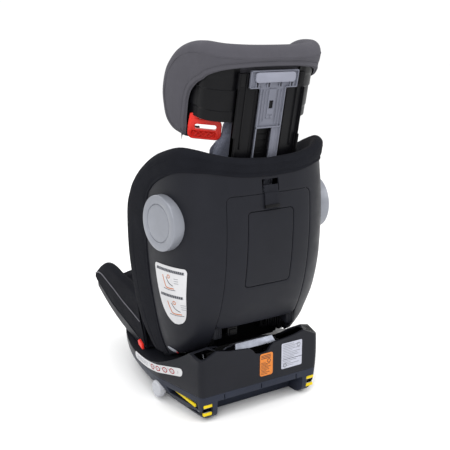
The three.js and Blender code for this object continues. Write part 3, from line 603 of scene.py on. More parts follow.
def build_shell():
    """The open-fronted backrest shell: two flanks and the bridge over the panel."""
    middle = 0.6 * hem_half + 0.4 * rim_half
    turn = int(np.argmax(middle[:, 0]))
    upper, lower = middle[turn:][::-1], middle[:turn + 1][::-1]
    end = middle[turn, 0] - 1

    def top(s):
        return np.interp(s, upper[:, 0], upper[:, 1])

    def bottom(s):
        y = shell.at(s, 140.0, 0.0)[1]
        round_z = CRADLE_Z - math.sqrt(PAN_R**2 - (y - CRADLE_Y) ** 2)
        start = lower[-1, 0]
        return round_z if s < start else max(round_z, np.interp(s, lower[::-1, 0], lower[::-1, 1]))

    points, faces = [], []
    half_x, corner, z_split = 107.0, 14.0, 489.0
    flank = np.linspace(0, 1, 56) ** 0.9
    low_rows, high_rows = 70, 16
    block = []
    for f in flank:
        s_mid = shell.s_of_x(half_x, 330.0) * (1 - f) + end * f
        z_values = np.concatenate([np.linspace(bottom(s_mid), z_split, low_rows)[:-1],
                                   np.linspace(z_split, max(top(s_mid), z_split + 1), high_rows)])
        column = []
        for z in z_values:
            s = shell.s_of_x(half_x, z) * (1 - f) + end * f
            column.append(shell.at(s, z, 0.0))
        block.append(column)
    block = np.array(block).transpose(1, 0, 2)
    for sign in (1, -1):
        start = len(points)
        points += list((block * [sign, 1, 1]).reshape(-1, 3))
        faces += grid_faces(block.shape[0], block.shape[1], False, start)
    bridge = []
    for x in np.concatenate([-half_x + corner * (1 - np.cos(np.linspace(0, math.pi / 2, 8))),
                             np.linspace(-half_x + corner, half_x - corner, 40)[1:-1],
                             (half_x - corner
                              * (1 - np.cos(np.linspace(0, math.pi / 2, 8))))[::-1]]):
        inward = max(abs(x) - (half_x - corner), 0)
        low = z_split + math.sqrt(max(corner**2 - inward**2, 0))
        z_values = np.linspace(low, top(abs(shell.s_of_x(x, 550.0))), high_rows)
        bridge.append([(x, rear_y(x, z), z) for z in z_values])
    bridge = np.array(bridge).transpose(1, 0, 2)
    start = len(points)
    points += list(bridge.reshape(-1, 3))
    faces += grid_faces(bridge.shape[0], bridge.shape[1], False, start)
    obj = weld(new_object("backrest_shell", points, faces, M["shell"]), 0.3)
    outwards(obj, (0, 60, 300))
    solidify(obj, WALL)
    rounded(obj, 1.3, 2, 50)
    cut(obj, slab(-21, 21, 200, 300, 506, 532))
    crease(obj, 40)
    return place(bake(obj), "seat", "shell_black", ["back_shell"])


def outwards(obj, centre):
    """Turns the faces so that they look away from a point."""
    c = Vector(centre) * MM
    with edited(obj) as bm:
        bmesh.ops.recalc_face_normals(bm, faces=bm.faces)
        score = sum((f.calc_center_median() - c).dot(f.normal) * f.calc_area() for f in bm.faces)
        if score < 0:
            bmesh.ops.reverse_faces(bm, faces=bm.faces)


BLOCK_FACES = [(0, 1, 3, 2), (4, 6, 7, 5), (0, 4, 5, 1), (2, 3, 7, 6), (0, 2, 6, 4), (1, 5, 7, 3)]


def slab(x0, x1, y0, y1, z0, z1):
    """A plain block, in most places a cutter."""
    points = [(x, y, z) for x in (x0, x1) for y in (y0, y1) for z in (z0, z1)]
    return new_object("cutter", points, BLOCK_FACES, M["inner"], flat=True)


def cut(obj, *cutters, operation="DIFFERENCE"):
    """Takes the cutters out of the object and removes them."""
    for cutter in cutters:
        add_modifier(obj, "BOOLEAN", object=cutter, operation=operation, solver="EXACT")
    bake(obj)
    for cutter in cutters:
        bpy.data.objects.remove(cutter)
    return obj


def rounded_loop(x0, x1, z0, z1, r, side=14, corner=8):
    """Points round a rounded rectangle, the same number whatever its size."""
    centres = [(x1 - r, z0 + r, -90), (x1 - r, z1 - r, 0), (x0 + r, z1 - r, 90),
               (x0 + r, z0 + r, 180)]
    loop = []
    for index, (cx, cz, start) in enumerate(centres):
        arc = [(cx + r * math.cos(math.radians(start + a)),
                cz + r * math.sin(math.radians(start + a)))
               for a in np.linspace(0, 90, corner)]
        loop += arc
        nx, nz, nstart = centres[(index + 1) % 4]
        ahead = (nx + r * math.cos(math.radians(nstart)), nz + r * math.sin(math.radians(nstart)))
        loop += [tuple(p) for p in np.linspace(arc[-1], ahead, side + 2)[1:-1]]
    return np.array(loop)


EDGE = [(0.0, -6.0), (0.0, -2.0), (0.35, -0.9), (0.9, -0.3), (1.8, 0.0)]


def inset_loop(spec, d):
    return rounded_loop(-spec["x"] + d, spec["x"] - d, spec["z0"] + d, spec["z1"] - d,
                        max(spec["r"] - d, 1.5))


def surface_rows(loops):
    return np.array([[(x, rear_y(x, z, off), z) for x, z in loop] for loop, off in loops])


def build_door():
    """The storage door in the panel."""
    loops = [(inset_loop(DOOR, d), off) for d, off in EDGE]
    loops += [(inset_loop(DOOR, d), 0.0) for d in (4, 8, 14, 22, 30, 38, 46, 52, 55.2)]
    rows = surface_rows(loops)
    count = rows.shape[1]
    faces = grid_faces(len(rows), count, True)
    last = (len(rows) - 1) * count
    faces.append(tuple(range(last, last + count)))
    obj = new_object("storage_lid", rows.reshape(-1, 3), faces, M["shell"])
    outwards(obj, (0, 100, 384))
    crease(obj, 50)
    return place(obj, "door", "shell_black", ["storage_door"])


def build_panel():
    """The centre panel, a ring round the door."""
    hole = dict(x=DOOR["x"] + 0.8, z0=DOOR["z0"] - 0.8, z1=DOOR["z1"] + 0.8, r=DOOR["r"] + 0.8)
    outer = [(inset_loop(PANEL, d), off) for d, off in EDGE]
    inner = [(inset_loop(hole, -d), off) for d, off in EDGE]
    a, b = outer[-1][0], inner[-1][0]
    between = [(a * (1 - t) + b * t, 0.0) for t in np.linspace(0, 1, 14)[1:-1]]
    rows = surface_rows([*outer, *between, *inner[::-1]])
    obj = new_object("backrest_panel", rows.reshape(-1, 3),
                     grid_faces(len(rows), rows.shape[1], True), M["shell"])
    outwards(obj, (0, 100, 350))
    crease(obj, 50)
    return place(obj, "seat", "shell_black", ["back_panel"])


# ---- Cloth over the backrest's edge -------------------------------------------------------------
def band_surface(wrap, hem, rim, profile, shape=lambda s, z, off, d: off):
    """Rows of a band from hem to rim; profile lists (share of width, mm from the rim, offset)."""
    width = np.linalg.norm(hem - rim, axis=1)
    rows = []
    for share, inset, off in profile:
        d = share * width + inset
        d = np.minimum(d, width * 0.995) if share < 1 else d
        t = (d / np.maximum(width, 1e-6))[:, None]
        at = rim * (1 - t) + hem * t
        rows.append(wrap.at(at[:, 0], at[:, 1], shape(at[:, 0], at[:, 1], off, d)))
    return np.array(rows)


def build_rim_cloth():
    """Black cloth pulled over the backrest's edge, from its hem outside to its inside."""
    rim, hem = mirror_curve(rim_half), mirror_curve(hem_half)
    profile = [(1.0, 0.0, -0.5), (1.0, 0.0, 1.6), (1.0, -2.0, 2.6), (1.0, -5.0, 2.6),
               (1.0, -7.0, 2.2),
               (1.0, -10.0, 3.4), (0.75, 0, 5.0), (0.6, 0, 6.4), (0.45, 0, 7.6), (0.32, 0, 8.4),
               (0.2, 4, 8.8),
               (0.1, 6, 8.8), (0, 8.5, 8.2), (0, 5.5, 6.8), (0, 2.6, 4.4), (0, 0.7, 1.4),
               (0, 0, -2.0), (0, 0.7, -5.4),
               (0, 2.8, -8.6), (0, 6.0, -11.0), (0, 11, -13.0), (0, 18, -14.2), (0, 26, -15.0)]

    def shape(s, z, off, d):
        fold = 0.7 * np.sin(s / 17.0 + z / 41.0) + 0.5 * np.sin(s / 7.3 - z / 23.0 + 1.7)
        swell = smooth_step(0, 14, off + 16) * 0.8
        return off + fold * swell * 0.5

    rows = band_surface(shell, hem, rim, profile, shape)
    obj = grid("rim_cover_cloth", rows, M["rim_cloth"])
    outwards(obj, (0, 100, 380))
    add_modifier(obj, "SUBSURF", levels=1, render_levels=1)
    place(bake(obj), "seat", "cloth_black", ["rim_cover"])
    seam_at = 0.62 * rim + 0.38 * hem
    seam = shell.at(seam_at[:, 0], seam_at[:, 1], 7.6)
    place(tube("rim_cover_seam", spline(seam, 400), 0.9, M["rim_cloth"], 6), "seat", "cloth_black")
    return obj


# ---- Headrest -----------------------------------------------------------------------------------
HEAD_RIM = [("y", -89, 25), ("y", -94, 23.6), ("y", -103, 23.5), ("y", -136, 28), ("y", -164, 45),
            ("y", -179, 74),
            ("y", -186, 105), ("y", -181, 144), ("y", -167, 172), ("y", -143, 198),
            ("y", -106, 219),
            ("y", -60, 230), ("x", 115, 231), ("x", 60, 231), ("x", 0, 231)]
HEAD_HEM = [("y", -88, 30), ("y", -88.5, 38), ("y", -89, 46), ("y", -91, 56), ("y", -92, 66),
            ("y", -92.5, 78),
            ("y", -92.5, 92), ("y", -92, 106), ("y", -86, 126), ("y", -71, 144), ("y", -50, 158),
            ("x", 136, 171), ("x", 110, 184), ("x", 60, 191), ("x", 0, 193)]
head_rim_half = spline(on_wrap(head, HEAD_RIM), 120)
head_hem_half = spline(on_wrap(head, HEAD_HEM), 120)


def build_head_cloth():
    """Grey cover of the headrest, with its stitched hem and its top seam."""
    rim, hem = mirror_curve(head_rim_half), mirror_curve(head_hem_half)
    profile = [(1.0, 2.0, -7.5), (1.0, 0.0, -7.0), (1.0, 0.0, -1.4), (1.0, -1.0, -0.5),
               (1.0, -4.0, -0.4),
               (1.0, -8.0, -0.8), (1.0, -9.5, -1.6), (1.0, -11.5, -0.4), (0.7, 0, 0.9),
               (0.5, 4, 1.6), (0.32, 8, 1.7),
               (0.18, 12, 1.2), (0.08, 14, 0.3), (0, 12, -1.8), (0, 7.5, -4.6), (0, 3.8, -8.4),
               (0, 1.2, -13.0),
               (0, 0, -18.5), (0, 0.6, -24.0), (0, 2.6, -29.5), (0, 6.2, -34.0), (0, 11.5, -37.5),
               (0, 18, -39.5),
               (0, 25, -40.5), (0, 28, -39.0)]

    def shape(s, z, off, d):
        near_hem = np.exp(-((d - d.max()) / 16.0) ** 2)
        pleats = 0.9 * np.sin(2 * math.pi * s
                              / 7.5) * near_hem * smooth_step(-70, -40, s) * smooth_step(30, -10, s)
        drape = 0.8 * np.sin(s / 31.0 + z / 27.0) + 0.5 * np.sin(s / 13.0 - z / 19.0 + 0.8)
        return off + (pleats + drape * 0.6) * smooth_step(-12, 0, off)

    rows = lean(band_surface(head, hem, rim, profile, shape))
    obj = grid("headrest_cloth", rows, M["grey_cloth"])
    outwards(obj, (0, 180, 700))
    add_modifier(obj, "SUBSURF", levels=1, render_levels=1)
    place(bake(obj), "headrest", "cloth_grey", ["headrest_cover"])
    width = np.linalg.norm(hem - rim, axis=1)
    line = hem + (rim - hem) * (9.0 / width)[:, None]
    path = lean(head.at(line[:, 0], line[:, 1], -0.6))
    stitched = stitches("headrest_hem_stitches", spline(path, 900), M["thread"], 3.4, 2.0, 0.45)
    place(stitched, "headrest", "cloth_grey")
    t = np.minimum(24.0 / width, 0.7)[:, None]
    top_line = rim * (1 - t) + hem * t
    seam_path = lean(head.at(top_line[:, 0], top_line[:, 1], 1.2))
    keep = slice(26, -26)
    place(tube("headrest_top_seam", spline(seam_path[keep], 360), 0.8, M["grey_cloth"], 6),
          "headrest", "cloth_grey")


def stitches(name, path, material, length, gap, radius):
    """Short raised dashes along a path."""
    path = np.asarray(path, float)
    run = np.concatenate([[0], np.cumsum(np.linalg.norm(np.diff(path, axis=0), axis=1))])
    starts = np.arange(0, run[-1] - length, length + gap)
    points, faces = [], []

    def spot(at):
        return np.array([np.interp(at, run, path[:, i]) for i in range(3)])

    for a in starts:
        p, q = spot(a), spot(a + length)
        ahead = (q - p) / (np.linalg.norm(q - p) + 1e-9)
        side = np.cross(ahead, (0.2, 0.5, 0.84))
        side /= np.linalg.norm(side) + 1e-9
        up = np.cross(side, ahead)
        start = len(points)
        points.append(p)
        for share, swell in ((0.2, 0.8), (0.8, 0.8)):
            centre = p * (1 - share) + q * share
            for k in range(5):
                turn = 2 * math.pi * k / 5
                points.append(centre + radius * swell
                              * (math.cos(turn) * side + math.sin(turn) * up))
        points.append(q)
        for k in range(5):
            k2 = (k + 1) % 5
            faces.append((start, start + 1 + k2, start + 1 + k))
            faces.append((start + 1 + k, start + 1 + k2, start + 6 + k2, start + 6 + k))
            faces.append((start + 6 + k, start + 6 + k2, start + 11))
    return new_object(name, points, faces, material)


def build_head_shell():
    """Black inner shell seen through the cover's rear opening, with its moulded ledges."""
    flank = np.linspace(0, 1, 64)
    levels = np.concatenate([np.linspace(34, 92, 26), np.linspace(93, 99, 8),
                             np.linspace(102, 136, 9),
                             np.linspace(137, 145, 10), np.linspace(148, 166, 6),
                             np.linspace(167, 176, 8),
                             np.linspace(180, 206, 8)])
    s_in, s_out = head.s_of_x(81.5, 0), head.length + 32
    block = []
    for z in levels:
        row = []
        for f in flank:
            s = s_in * (1 - f) + s_out * f
            y = head.at(s, z, 0.0)[1]
            low = 74 - 40 * smooth_step(-93, -101, y)
            at = max(z, low)
            rib = 3.0 * smooth_step(140.5 - 5 * f, 142.0 - 5 * f, at)
            rib += 1.6 * smooth_step(168 - 8 * f, 170 - 8 * f,
                                     at) - 2.0 * (1 - smooth_step(95, 97, at))
            rib *= smooth_step(0.03, 0.12, f)
            row.append(head.at(s, at, -13.5 + rib * 0.6))
        block.append(row)
    block = lean(np.array(block))
    points, faces = [], []
    for sign in (1, -1):
        start = len(points)
        points += list((block * [sign, 1, 1]).reshape(-1, 3))
        faces += grid_faces(block.shape[0], block.shape[1], False, start)
    obj = weld(new_object("headrest_inner_shell", points, faces, M["gloss"]), 0.05)
    outwards(obj, (0, 120, 700))
    add_modifier(obj, "SOLIDIFY", thickness=3.0 * MM, offset=-1.0)
    place(bake(obj), "headrest", "inner_black", ["headrest_shell"])
    crease(obj, 38)


# ---- Side guards --------------------------------------------------------------------------------
GUARD = dict(x=188.0, y=157.0, z=440.0, yaw=math.radians(6.0))


def lathe(name, profile, material, steps=96, groove=lambda r, h, i: 0.0):
    """A turned piece about +X from (radius, height) points; groove sinks spot i of a ring."""
    turns = np.linspace(0, 2 * math.pi, steps, endpoint=False)
    rows = [[(h, (r - groove(r, h, i)) * math.cos(t), (r - groove(r, h, i)) * math.sin(t))
             for i, t in enumerate(turns)] for r, h in profile]
    return new_object(name, np.array(rows).reshape(-1, 3), capped_faces(len(profile), steps),
                      material)


def build_guards():
    """Round side impact guards."""
    profile = [(52, -12), (59.2, -12), (60, -11), (60, 17.6), (59.5, 19.3), (58.2, 20.4),
               (56.2, 21.0), (42.8, 21.0),
               (42.0, 20.6), (41.6, 19.9), (41.2, 18.9), (40.6, 18.9), (40.0, 19.6), (39.4, 20.2),
               (30, 20.4),
               (15, 20.6), (2, 20.65)]
    for sign, side in SIDES:
        obj = lathe(f"guard_disc_{side}", profile, M["silver"])
        turn = Matrix.Rotation(GUARD["yaw"], 4, "Z")
        obj.data.transform(Matrix.Translation(Vector((GUARD["x"], GUARD["y"], GUARD["z"]))
                                              * MM) @ turn)
        if sign < 0:
            mirror(obj)
        crease(obj, 35)
        place(obj, f"guard_{side[0]}", "silver_plastic", [f"side_guard_{side}"])


# ---- Base ---------------------------------------------------------------------------------------
base_width = knots([(0, 148), (10, 156), (20, 165), (45, 180), (75, 187), (112, 187), (140, 178),
                    (168, 164)])
base_corner = knots([(0, 138), (12, 145), (30, 151), (62, 156), (100, 158.5), (168, 157)])
base_rear = knots([(0, 217), (5, 230), (12, 240), (22, REAR_Y)])
BASE_MID, BASE_FRONT, SEAM_Z, BASE_TOP = 100.0, -246.0, 62.0, 168.0
CORNER_R = 12.0


def flank_corner(z, inset):
    """Where the flank meets the rear wall: the corner, and its rounding's two ends."""
    corner = np.array([base_corner(z) - inset, base_rear(z) - inset])
    along = np.array([base_width(z) - inset, BASE_MID]) - corner
    return corner, corner + along / np.linalg.norm(along) * CORNER_R, corner - [CORNER_R, 0]


def base_ring(z, inset=0.0, steps=72):
    half = base_width(z) - inset
    corner, before, after = flank_corner(z, inset)
    t = np.linspace(0, 1, 12)[:, None]
    bend = before * (1 - t) ** 2 + 2 * corner * t * (1 - t) + after * t**2
    side = np.linspace([half, BASE_MID], before, 16)[:-1]
    rear = np.linspace(after, [0, after[1]], 20)[1:]
    left = np.concatenate([side, bend, rear])
    right = left[::-1][1:] * [-1, 1]
    front = BASE_MID - BASE_FRONT - inset - (187 - base_width(z)) * 0.6
    angle = np.linspace(0, math.pi, steps + 1)[::-1][1:-1]
    c, s = np.cos(angle), np.maximum(np.sin(angle), 0)
    ahead = np.stack([half * np.sign(c) * np.abs(c) ** 0.8, BASE_MID - front * s ** 0.8], -1)
    ring = np.concatenate([left, right, ahead])
    return np.column_stack([ring, np.full(len(ring), z)])


def base_solid(name, levels, inset, material):
    rings = np.array([base_ring(z, inset) for z in levels])
    faces = capped_faces(len(levels), rings.shape[1])
    return new_object(name, rings.reshape(-1, 3), faces, material)


def drum(radius, x0=-250, x1=250, steps=220):
    angle = np.linspace(0, 2 * math.pi, steps, endpoint=False)
    rows = [[(x, CRADLE_Y + radius * math.cos(a), CRADLE_Z + radius * math.sin(a)) for a in angle]
            for x in (x0, x1)]
    obj = new_object("cutter", np.array(rows).reshape(-1, 3), capped_faces(2, steps), M["inner"])
    outwards(obj, (0, CRADLE_Y, CRADLE_Z))
    return obj


def prism(outline, axis, a, b, material, name="cutter"):
    """A flat outline carried along an axis: (y, z) points for 0, (x, z) for 1, (x, y) for 2."""
    lift = {0: lambda u, v, w: (w, u, v), 1: lambda u, v, w: (u, w, v), 2: lambda u, v,
            w: (u, v, w)}[axis]
    points = [lift(u, v, w) for w in (a, b) for u, v in outline]
    obj = new_object(name, points, capped_faces(2, len(outline)), material)
    outwards(obj, np.mean(points, axis=0))
    return obj


def notch_outline():
    top = [(-180, 200), (-180, 190), (-126, 165), (-84, 156), (-40, 151.5)]
    dip = [tuple(p) for p in spline([(-34, 151), (-25, 145), (-13, 133), (13, 133), (25, 145),
                                     (34, 151)], 25)]
    return top + dip + [(-x, z) for x, z in top[::-1]]


def corner_slope(sign):
    """Cutter over the plane that lowers the base's top towards a rear corner."""
    def top(x, y):
        return 286.0 - 0.475 * x - 0.2775 * y

    corners = [(x, y) for x in (100, 200) for y in (150, 262)]
    points = [(sign * x, y, top(x, y) + rise) for x, y in corners for rise in (0, 90)]
    obj = new_object("cutter", points, BLOCK_FACES, M["base"], flat=True)
    outwards(obj, (sign * 150, 206, 210))
    return obj


def build_base():
    """Base housing over the base tray."""
    levels = [SEAM_Z + 0.3, 66, 70, 75, 82, 89, 96, 103, 110, 117, 124, 131, 138, 145, 152, 158,
              163, BASE_TOP]
    body = base_solid("base_upper", levels, 0.0, M["base"])
    inside = base_solid("cutter", [55, 75, 95, 112, 126, 140, 152, BASE_TOP - WALL], WALL,
                        M["inner"])
    inside = cut(inside, drum(PAN_WELL_R))
    channel = slab(-98, 98, -206, REAR_Y - 8, SEAM_Z - 2, BASE_TOP + 2)
    lever_way = slab(-16, 16, -280, -200, 111, 121)
    cut(body, drum(CRADLE_R), inside, channel, lever_way,
        prism(notch_outline(), 1, 150, 260, M["inner"]),
        corner_slope(1), corner_slope(-1))
    weld(body, 0.05)
    rounded(body, 1.6, 2, 32)
    bake(body)
    crease(body, 32)
    place(body, "base", "base_black", ["base_housing"])

    tray = base_solid("base_lower",
                      [0, 2, 5, 10, 15, 20, 28, 36, 45, 54, SEAM_Z - 0.9, SEAM_Z - 0.3], 0.0,
                      M["tray"])
    well = prism([tuple(p) for p in rounded_loop(-112, 112, -205, 182, 20, 4, 8)], 2, 6, SEAM_Z + 5,
                 M["inner"])
    relief = prism([(192, -5), (196, 30), (200, 40), (206, 44), (214, 46), (270, 46), (270, -5)], 0,
                   -116, 116, M["inner"])
    cutters = [well, relief]
    for sign in (1, -1):
        a, b = sorted((sign * 124.5, sign * 152))
        cutters.append(slab(a, b, -70, 226, 12, 45))
        mouth = [(sign * 139 + u, 30 + v) for u, v in rounded_loop(-11.5, 11.5, -14, 14, 3.5, 2, 4)]
        cutters.append(prism(mouth, 1, 220, 262, M["inner"]))
        a, b = sorted((sign * 140, sign * 200))
        hole = [(KNOB_Y + 19 * math.cos(t), KNOB_Z + 19 * math.sin(t))
                for t in np.linspace(0, 2 * math.pi, 49)[:-1]]
        cutters.append(prism(hole, 0, a, b, M["inner"]))
        cutters.append(slab(a, b, 122, 226, 29, 46))
        a, b = sorted((sign * 96, sign * 99))
        cutters.append(slab(a, b, 240, 250, 44, 58))
    cutters.append(slab(-1.5, 1.5, 240, 250, 47, 59))
    cut(tray, *cutters)
    weld(tray, 0.05)
    rounded(tray, 1.6, 2, 32)
    bake(tray)
    crease(tray, 32)
    place(tray, "base", "tray_black", ["base_tray"])


# ---- Small hard parts ---------------------------------------------------------------------------
def box_part(x0, x1, y0, y1, z0, z1, material, edge=0.6, leaning=True):
    """A block with rounded edges; in the headrest's leaning frame unless told otherwise."""
    obj = slab(x0, x1, y0, y1, z0, z1)
    obj.data.materials.clear()
    obj.data.materials.append(material)
    if edge:
        rounded(obj, edge, 2, 40)
        bake(obj)
    if leaning:
        lean_mesh(obj)
    return obj


def lean_mesh(obj):
    for v in obj.data.vertices:
        v.co = Vector(lean(np.array(v.co) / MM) * MM)
    return obj


def plate_part(loop, y0, y1, material, edge=0.5):
    """A flat outline in the headrest's leaning frame, y0 to y1 thick."""
    obj = prism(loop, 1, y0, y1, material, "plate")
    if edge:
        rounded(obj, edge, 2, 40)
        bake(obj)
    return lean_mesh(obj)


def build_adjuster():
    """Height adjuster: the tee-shaped plate and the handle on it."""
    half_stem, half_head = 31.0, 58.0
    grey = M["adjuster"]
    outer = [(-half_head, 184), (-half_head, 148), (-half_stem - 2, 148), (-half_stem, 142),
             (-half_stem, 67),
             (half_stem, 67), (half_stem, 142), (half_stem + 2, 148), (half_head, 148),
             (half_head, 184)]
    parts = [plate_part(outer, -3, -0.6, grey, 0.4)]
    # raised rims along the head and the stem
    rims = [(-half_head, -half_head + 2.4, 148, 184), (half_head - 2.4, half_head, 148, 184),
            (-half_head, -half_stem, 148, 150.4), (half_stem, half_head, 148, 150.4),
            (-half_head, half_head, 182, 184),
            (-half_stem, -half_stem + 2.2, -170, 150), (half_stem - 2.2, half_stem, -170, 150),
            (-11.2, -9, -170, 64),
            (-half_stem, half_stem, 64, 67)]
    parts += [box_part(a, b, -2.4, 3.0, c, d, grey, 0.5) for a, b, c, d in rims]
    # two legs under the fork
    parts += [box_part(-half_stem, -9, -3, 0.6, -170, 67, grey, 0.4),
              box_part(28, half_stem, -3, 0.6, -170, 67, grey, 0.4)]
    # tabs below the handle
    for x in (-44, -17, 12, 40):
        parts.append(box_part(x - 5, x - 2.2, -1.5, 2.6, 150, 160.5, grey, 0.4))
        parts.append(box_part(x + 2.2, x + 5, -1.5, 2.6, 150, 160.5, grey, 0.4))
        parts.append(box_part(x - 2.2, x + 2.2, -1.5, -0.3, 150, 160.5, M["print_dark"], 0))
    # raised spine with its window, and the ribs beside it
    spine = box_part(-8.5, 9, -1.5, 1.6, 84, 146, grey, 0.8)
    cut(spine, lean_mesh(slab(-4.5, 5.5, -5, 5, 105, 122)), lean_mesh(slab(-5, 6, 0.4, 5, 90, 93)),
        lean_mesh(slab(-1, 2, 0.4, 5, 84, 91)))
    parts.append(spine)
    parts.append(box_part(-4.6, 5.6, -2.9, -0.4, 104.9, 122.1, M["inner"], 0))
    for x, z0, z1 in ((15.5, 78, 144), (22.5, 72, 144), (-14.5, 72, 144), (-22.5, -168, 144)):
        parts.append(box_part(x - 1, x + 1, -1.5, 1.4, z0, z1, grey, 0.4))
    plate = join("adjuster_tee", parts)
    place(plate, "headrest", "adjuster_grey", ["adjuster_plate"])

    bar = [tuple(p) for p in rounded_loop(-48, 48, 160.5, 181, 6.5, 6, 8)]
    handle = plate_part(bar, 0.5, 7.6, M["handle"], 1.8)
    handle.name = "adjuster_grip"
    crease(handle, 50)
    place(handle, "headrest_handle", "adjuster_grey", ["adjuster_handle"])


def build_carrier():
    """The black slider that carries the headrest, with a slot down its middle."""
    dark, gloss = M["inner"], M["gloss"]
    x, z0, z1 = 81, -190, 178
    panel = box_part(-x, x, -12, -4.2, z0, z1, gloss, 1.4)
    cut(panel, lean_mesh(slab(-7, 26, -20, 4, -160, 62)))
    parts = [panel]
    for sign in (1, -1):
        def span(a, b):
            return sorted((sign * a, sign * b))
        parts.append(box_part(*span(x - 2.6, x), -12, 0.5, z0 + 4, 146, gloss, 0.8))
        parts.append(box_part(*span(x - 4, x + 0.0), -12, 4.5, -20, 46, dark, 0.8))
        parts.append(box_part(*span(62, 64.5), -6, -1.6, 20, 178, gloss, 0.6))
        parts.append(box_part(*span(66, 78), -6, -2.2, 152, 178, dark, 0.8))
        parts.append(box_part(*span(38, 40), -6, -2.6, -150, 140, gloss, 0.5))
    parts += [box_part(-7, 26, -12, -9.5, z, z + 2.5, dark, 0.5) for z in range(-150, 60, 14)]
    back = box_part(-7.2, 26.2, -12, -10.5, -160, 62, dark, 0)
    obj = join("headrest_slider", parts + [back])
    place(obj, "headrest", "inner_black", ["headrest_carrier"])


GUIDE_X, GUIDE_Y, GUIDE_TURN = 80.0, -48.5, 0.52


def turn_guide(obj, sign):
    """From the guide's own flat frame to its place beside the adjuster, outer end forward."""
    matrix = Matrix.Translation(Vector((GUIDE_X, GUIDE_Y, 0))
                                * MM) @ Matrix.Rotation(-GUIDE_TURN, 4, "Z")
    obj.data.transform(matrix)
    if sign < 0:
        mirror(obj)
    return lean_mesh(obj)


def build_belt_guides():
    """Red shoulder belt guides with a hook, a slot and crossed rods."""
    for sign, side in SIDES:
        ring = prism(list(map(tuple, rounded_loop(0, 70, 24, 67, 13, 6, 10))), 1, -12, 0, M["red"],
                     "ring")
        hole = prism(list(map(tuple, rounded_loop(11, 56, 45, 56, 4.5, 6, 8))), 1, -30, 20,
                     M["inner"])
        slot_low = prism(list(map(tuple, rounded_loop(12, 62, 28, 41, 3.5, 6, 8))), 1, -5, 20,
                         M["inner"])
        cut(ring, hole, slot_low)
        rounded(ring, 1.8, 3, 40)
        bake(ring)
        parts = [ring]
        for k in range(4):
            a, b = 14 + 11 * k, 25 + 11 * k
            for z_a, z_b in ((29, 40), (40, 29)):
                line = spline([(a, -2.5, z_a), ((a + b) / 2, -2.5, (z_a + z_b) / 2),
                               (b, -2.5, z_b)], 8)
                parts.append(tube("rod", line, 1.3, M["red"], 6))
        hook = prism([(47, 58), (48, 69), (53, 76), (61, 79), (68, 76), (70, 56)], 1, -11, -2,
                     M["red"], "hook")
        rounded(hook, 2.2, 3, 30)
        parts.append(bake(hook))
        obj = turn_guide(join(f"shoulder_belt_guide_{side}", parts), sign)
        place(obj, "headrest", "belt_red", [f"belt_guide_{side}"])


# ---- Prints and small pieces on the flanks and on the base --------------------------------------
def base_at(y, z, off=0.0):
    """Point of the base's left flank at a depth and a height."""
    half = base_width(z)
    corner, before, _ = flank_corner(z, 0.0)
    if y >= BASE_MID:
        x = np.interp(y, [BASE_MID, before[1], corner[1]], [half, before[0], corner[0] - 2])
    else:
        depth = BASE_MID - BASE_FRONT - (187 - half) * 0.6
        x = half * (1 - np.clip((BASE_MID - y) / depth, 0, 1) ** 2.5) ** 0.4
    return np.array([x + off, y, z])


PRINT = 0.25  # thickness of a printed mark


def ribbon(name, surface, rows, material, thickness=0.5):
    """A thin printed piece over surface(u, v); rows are lists of (u, v)."""
    obj = grid(name, [[surface(u, v) for u, v in row] for row in rows], material)
    outwards(obj, (0, 60, 200))
    add_modifier(obj, "SOLIDIFY", thickness=thickness * MM, offset=1.0)
    return bake(obj)


def ring_mark(centre, radius, width, surface, material, steps=22, tall=1.0):
    rows = []
    for r in (radius, radius - width):
        rows.append([(centre[0] + r * math.cos(t), centre[1] + tall * r * math.sin(t))
                     for t in np.linspace(0, 2 * math.pi, steps)])
    return ribbon("mark", surface, rows, material, PRINT)


def stroke(points, width, surface, material, steps=10):
    """A drawn line on a surface."""
    line = spline(points, steps)
    ahead = np.gradient(line, axis=0)
    ahead /= np.linalg.norm(ahead, axis=1)[:, None] + 1e-9
    side = np.stack([-ahead[:, 1], ahead[:, 0]], -1) * width / 2
    return ribbon("mark", surface, [line + side, line - side], material, PRINT)


def mirrored_copy(obj, name, body, slot_name, replaces=()):
    copy = obj.copy()
    copy.data = obj.data.copy()
    copy.name = name
    scene.collection.objects.link(copy)
    mirror(copy)
    return place(copy, body, slot_name, replaces)


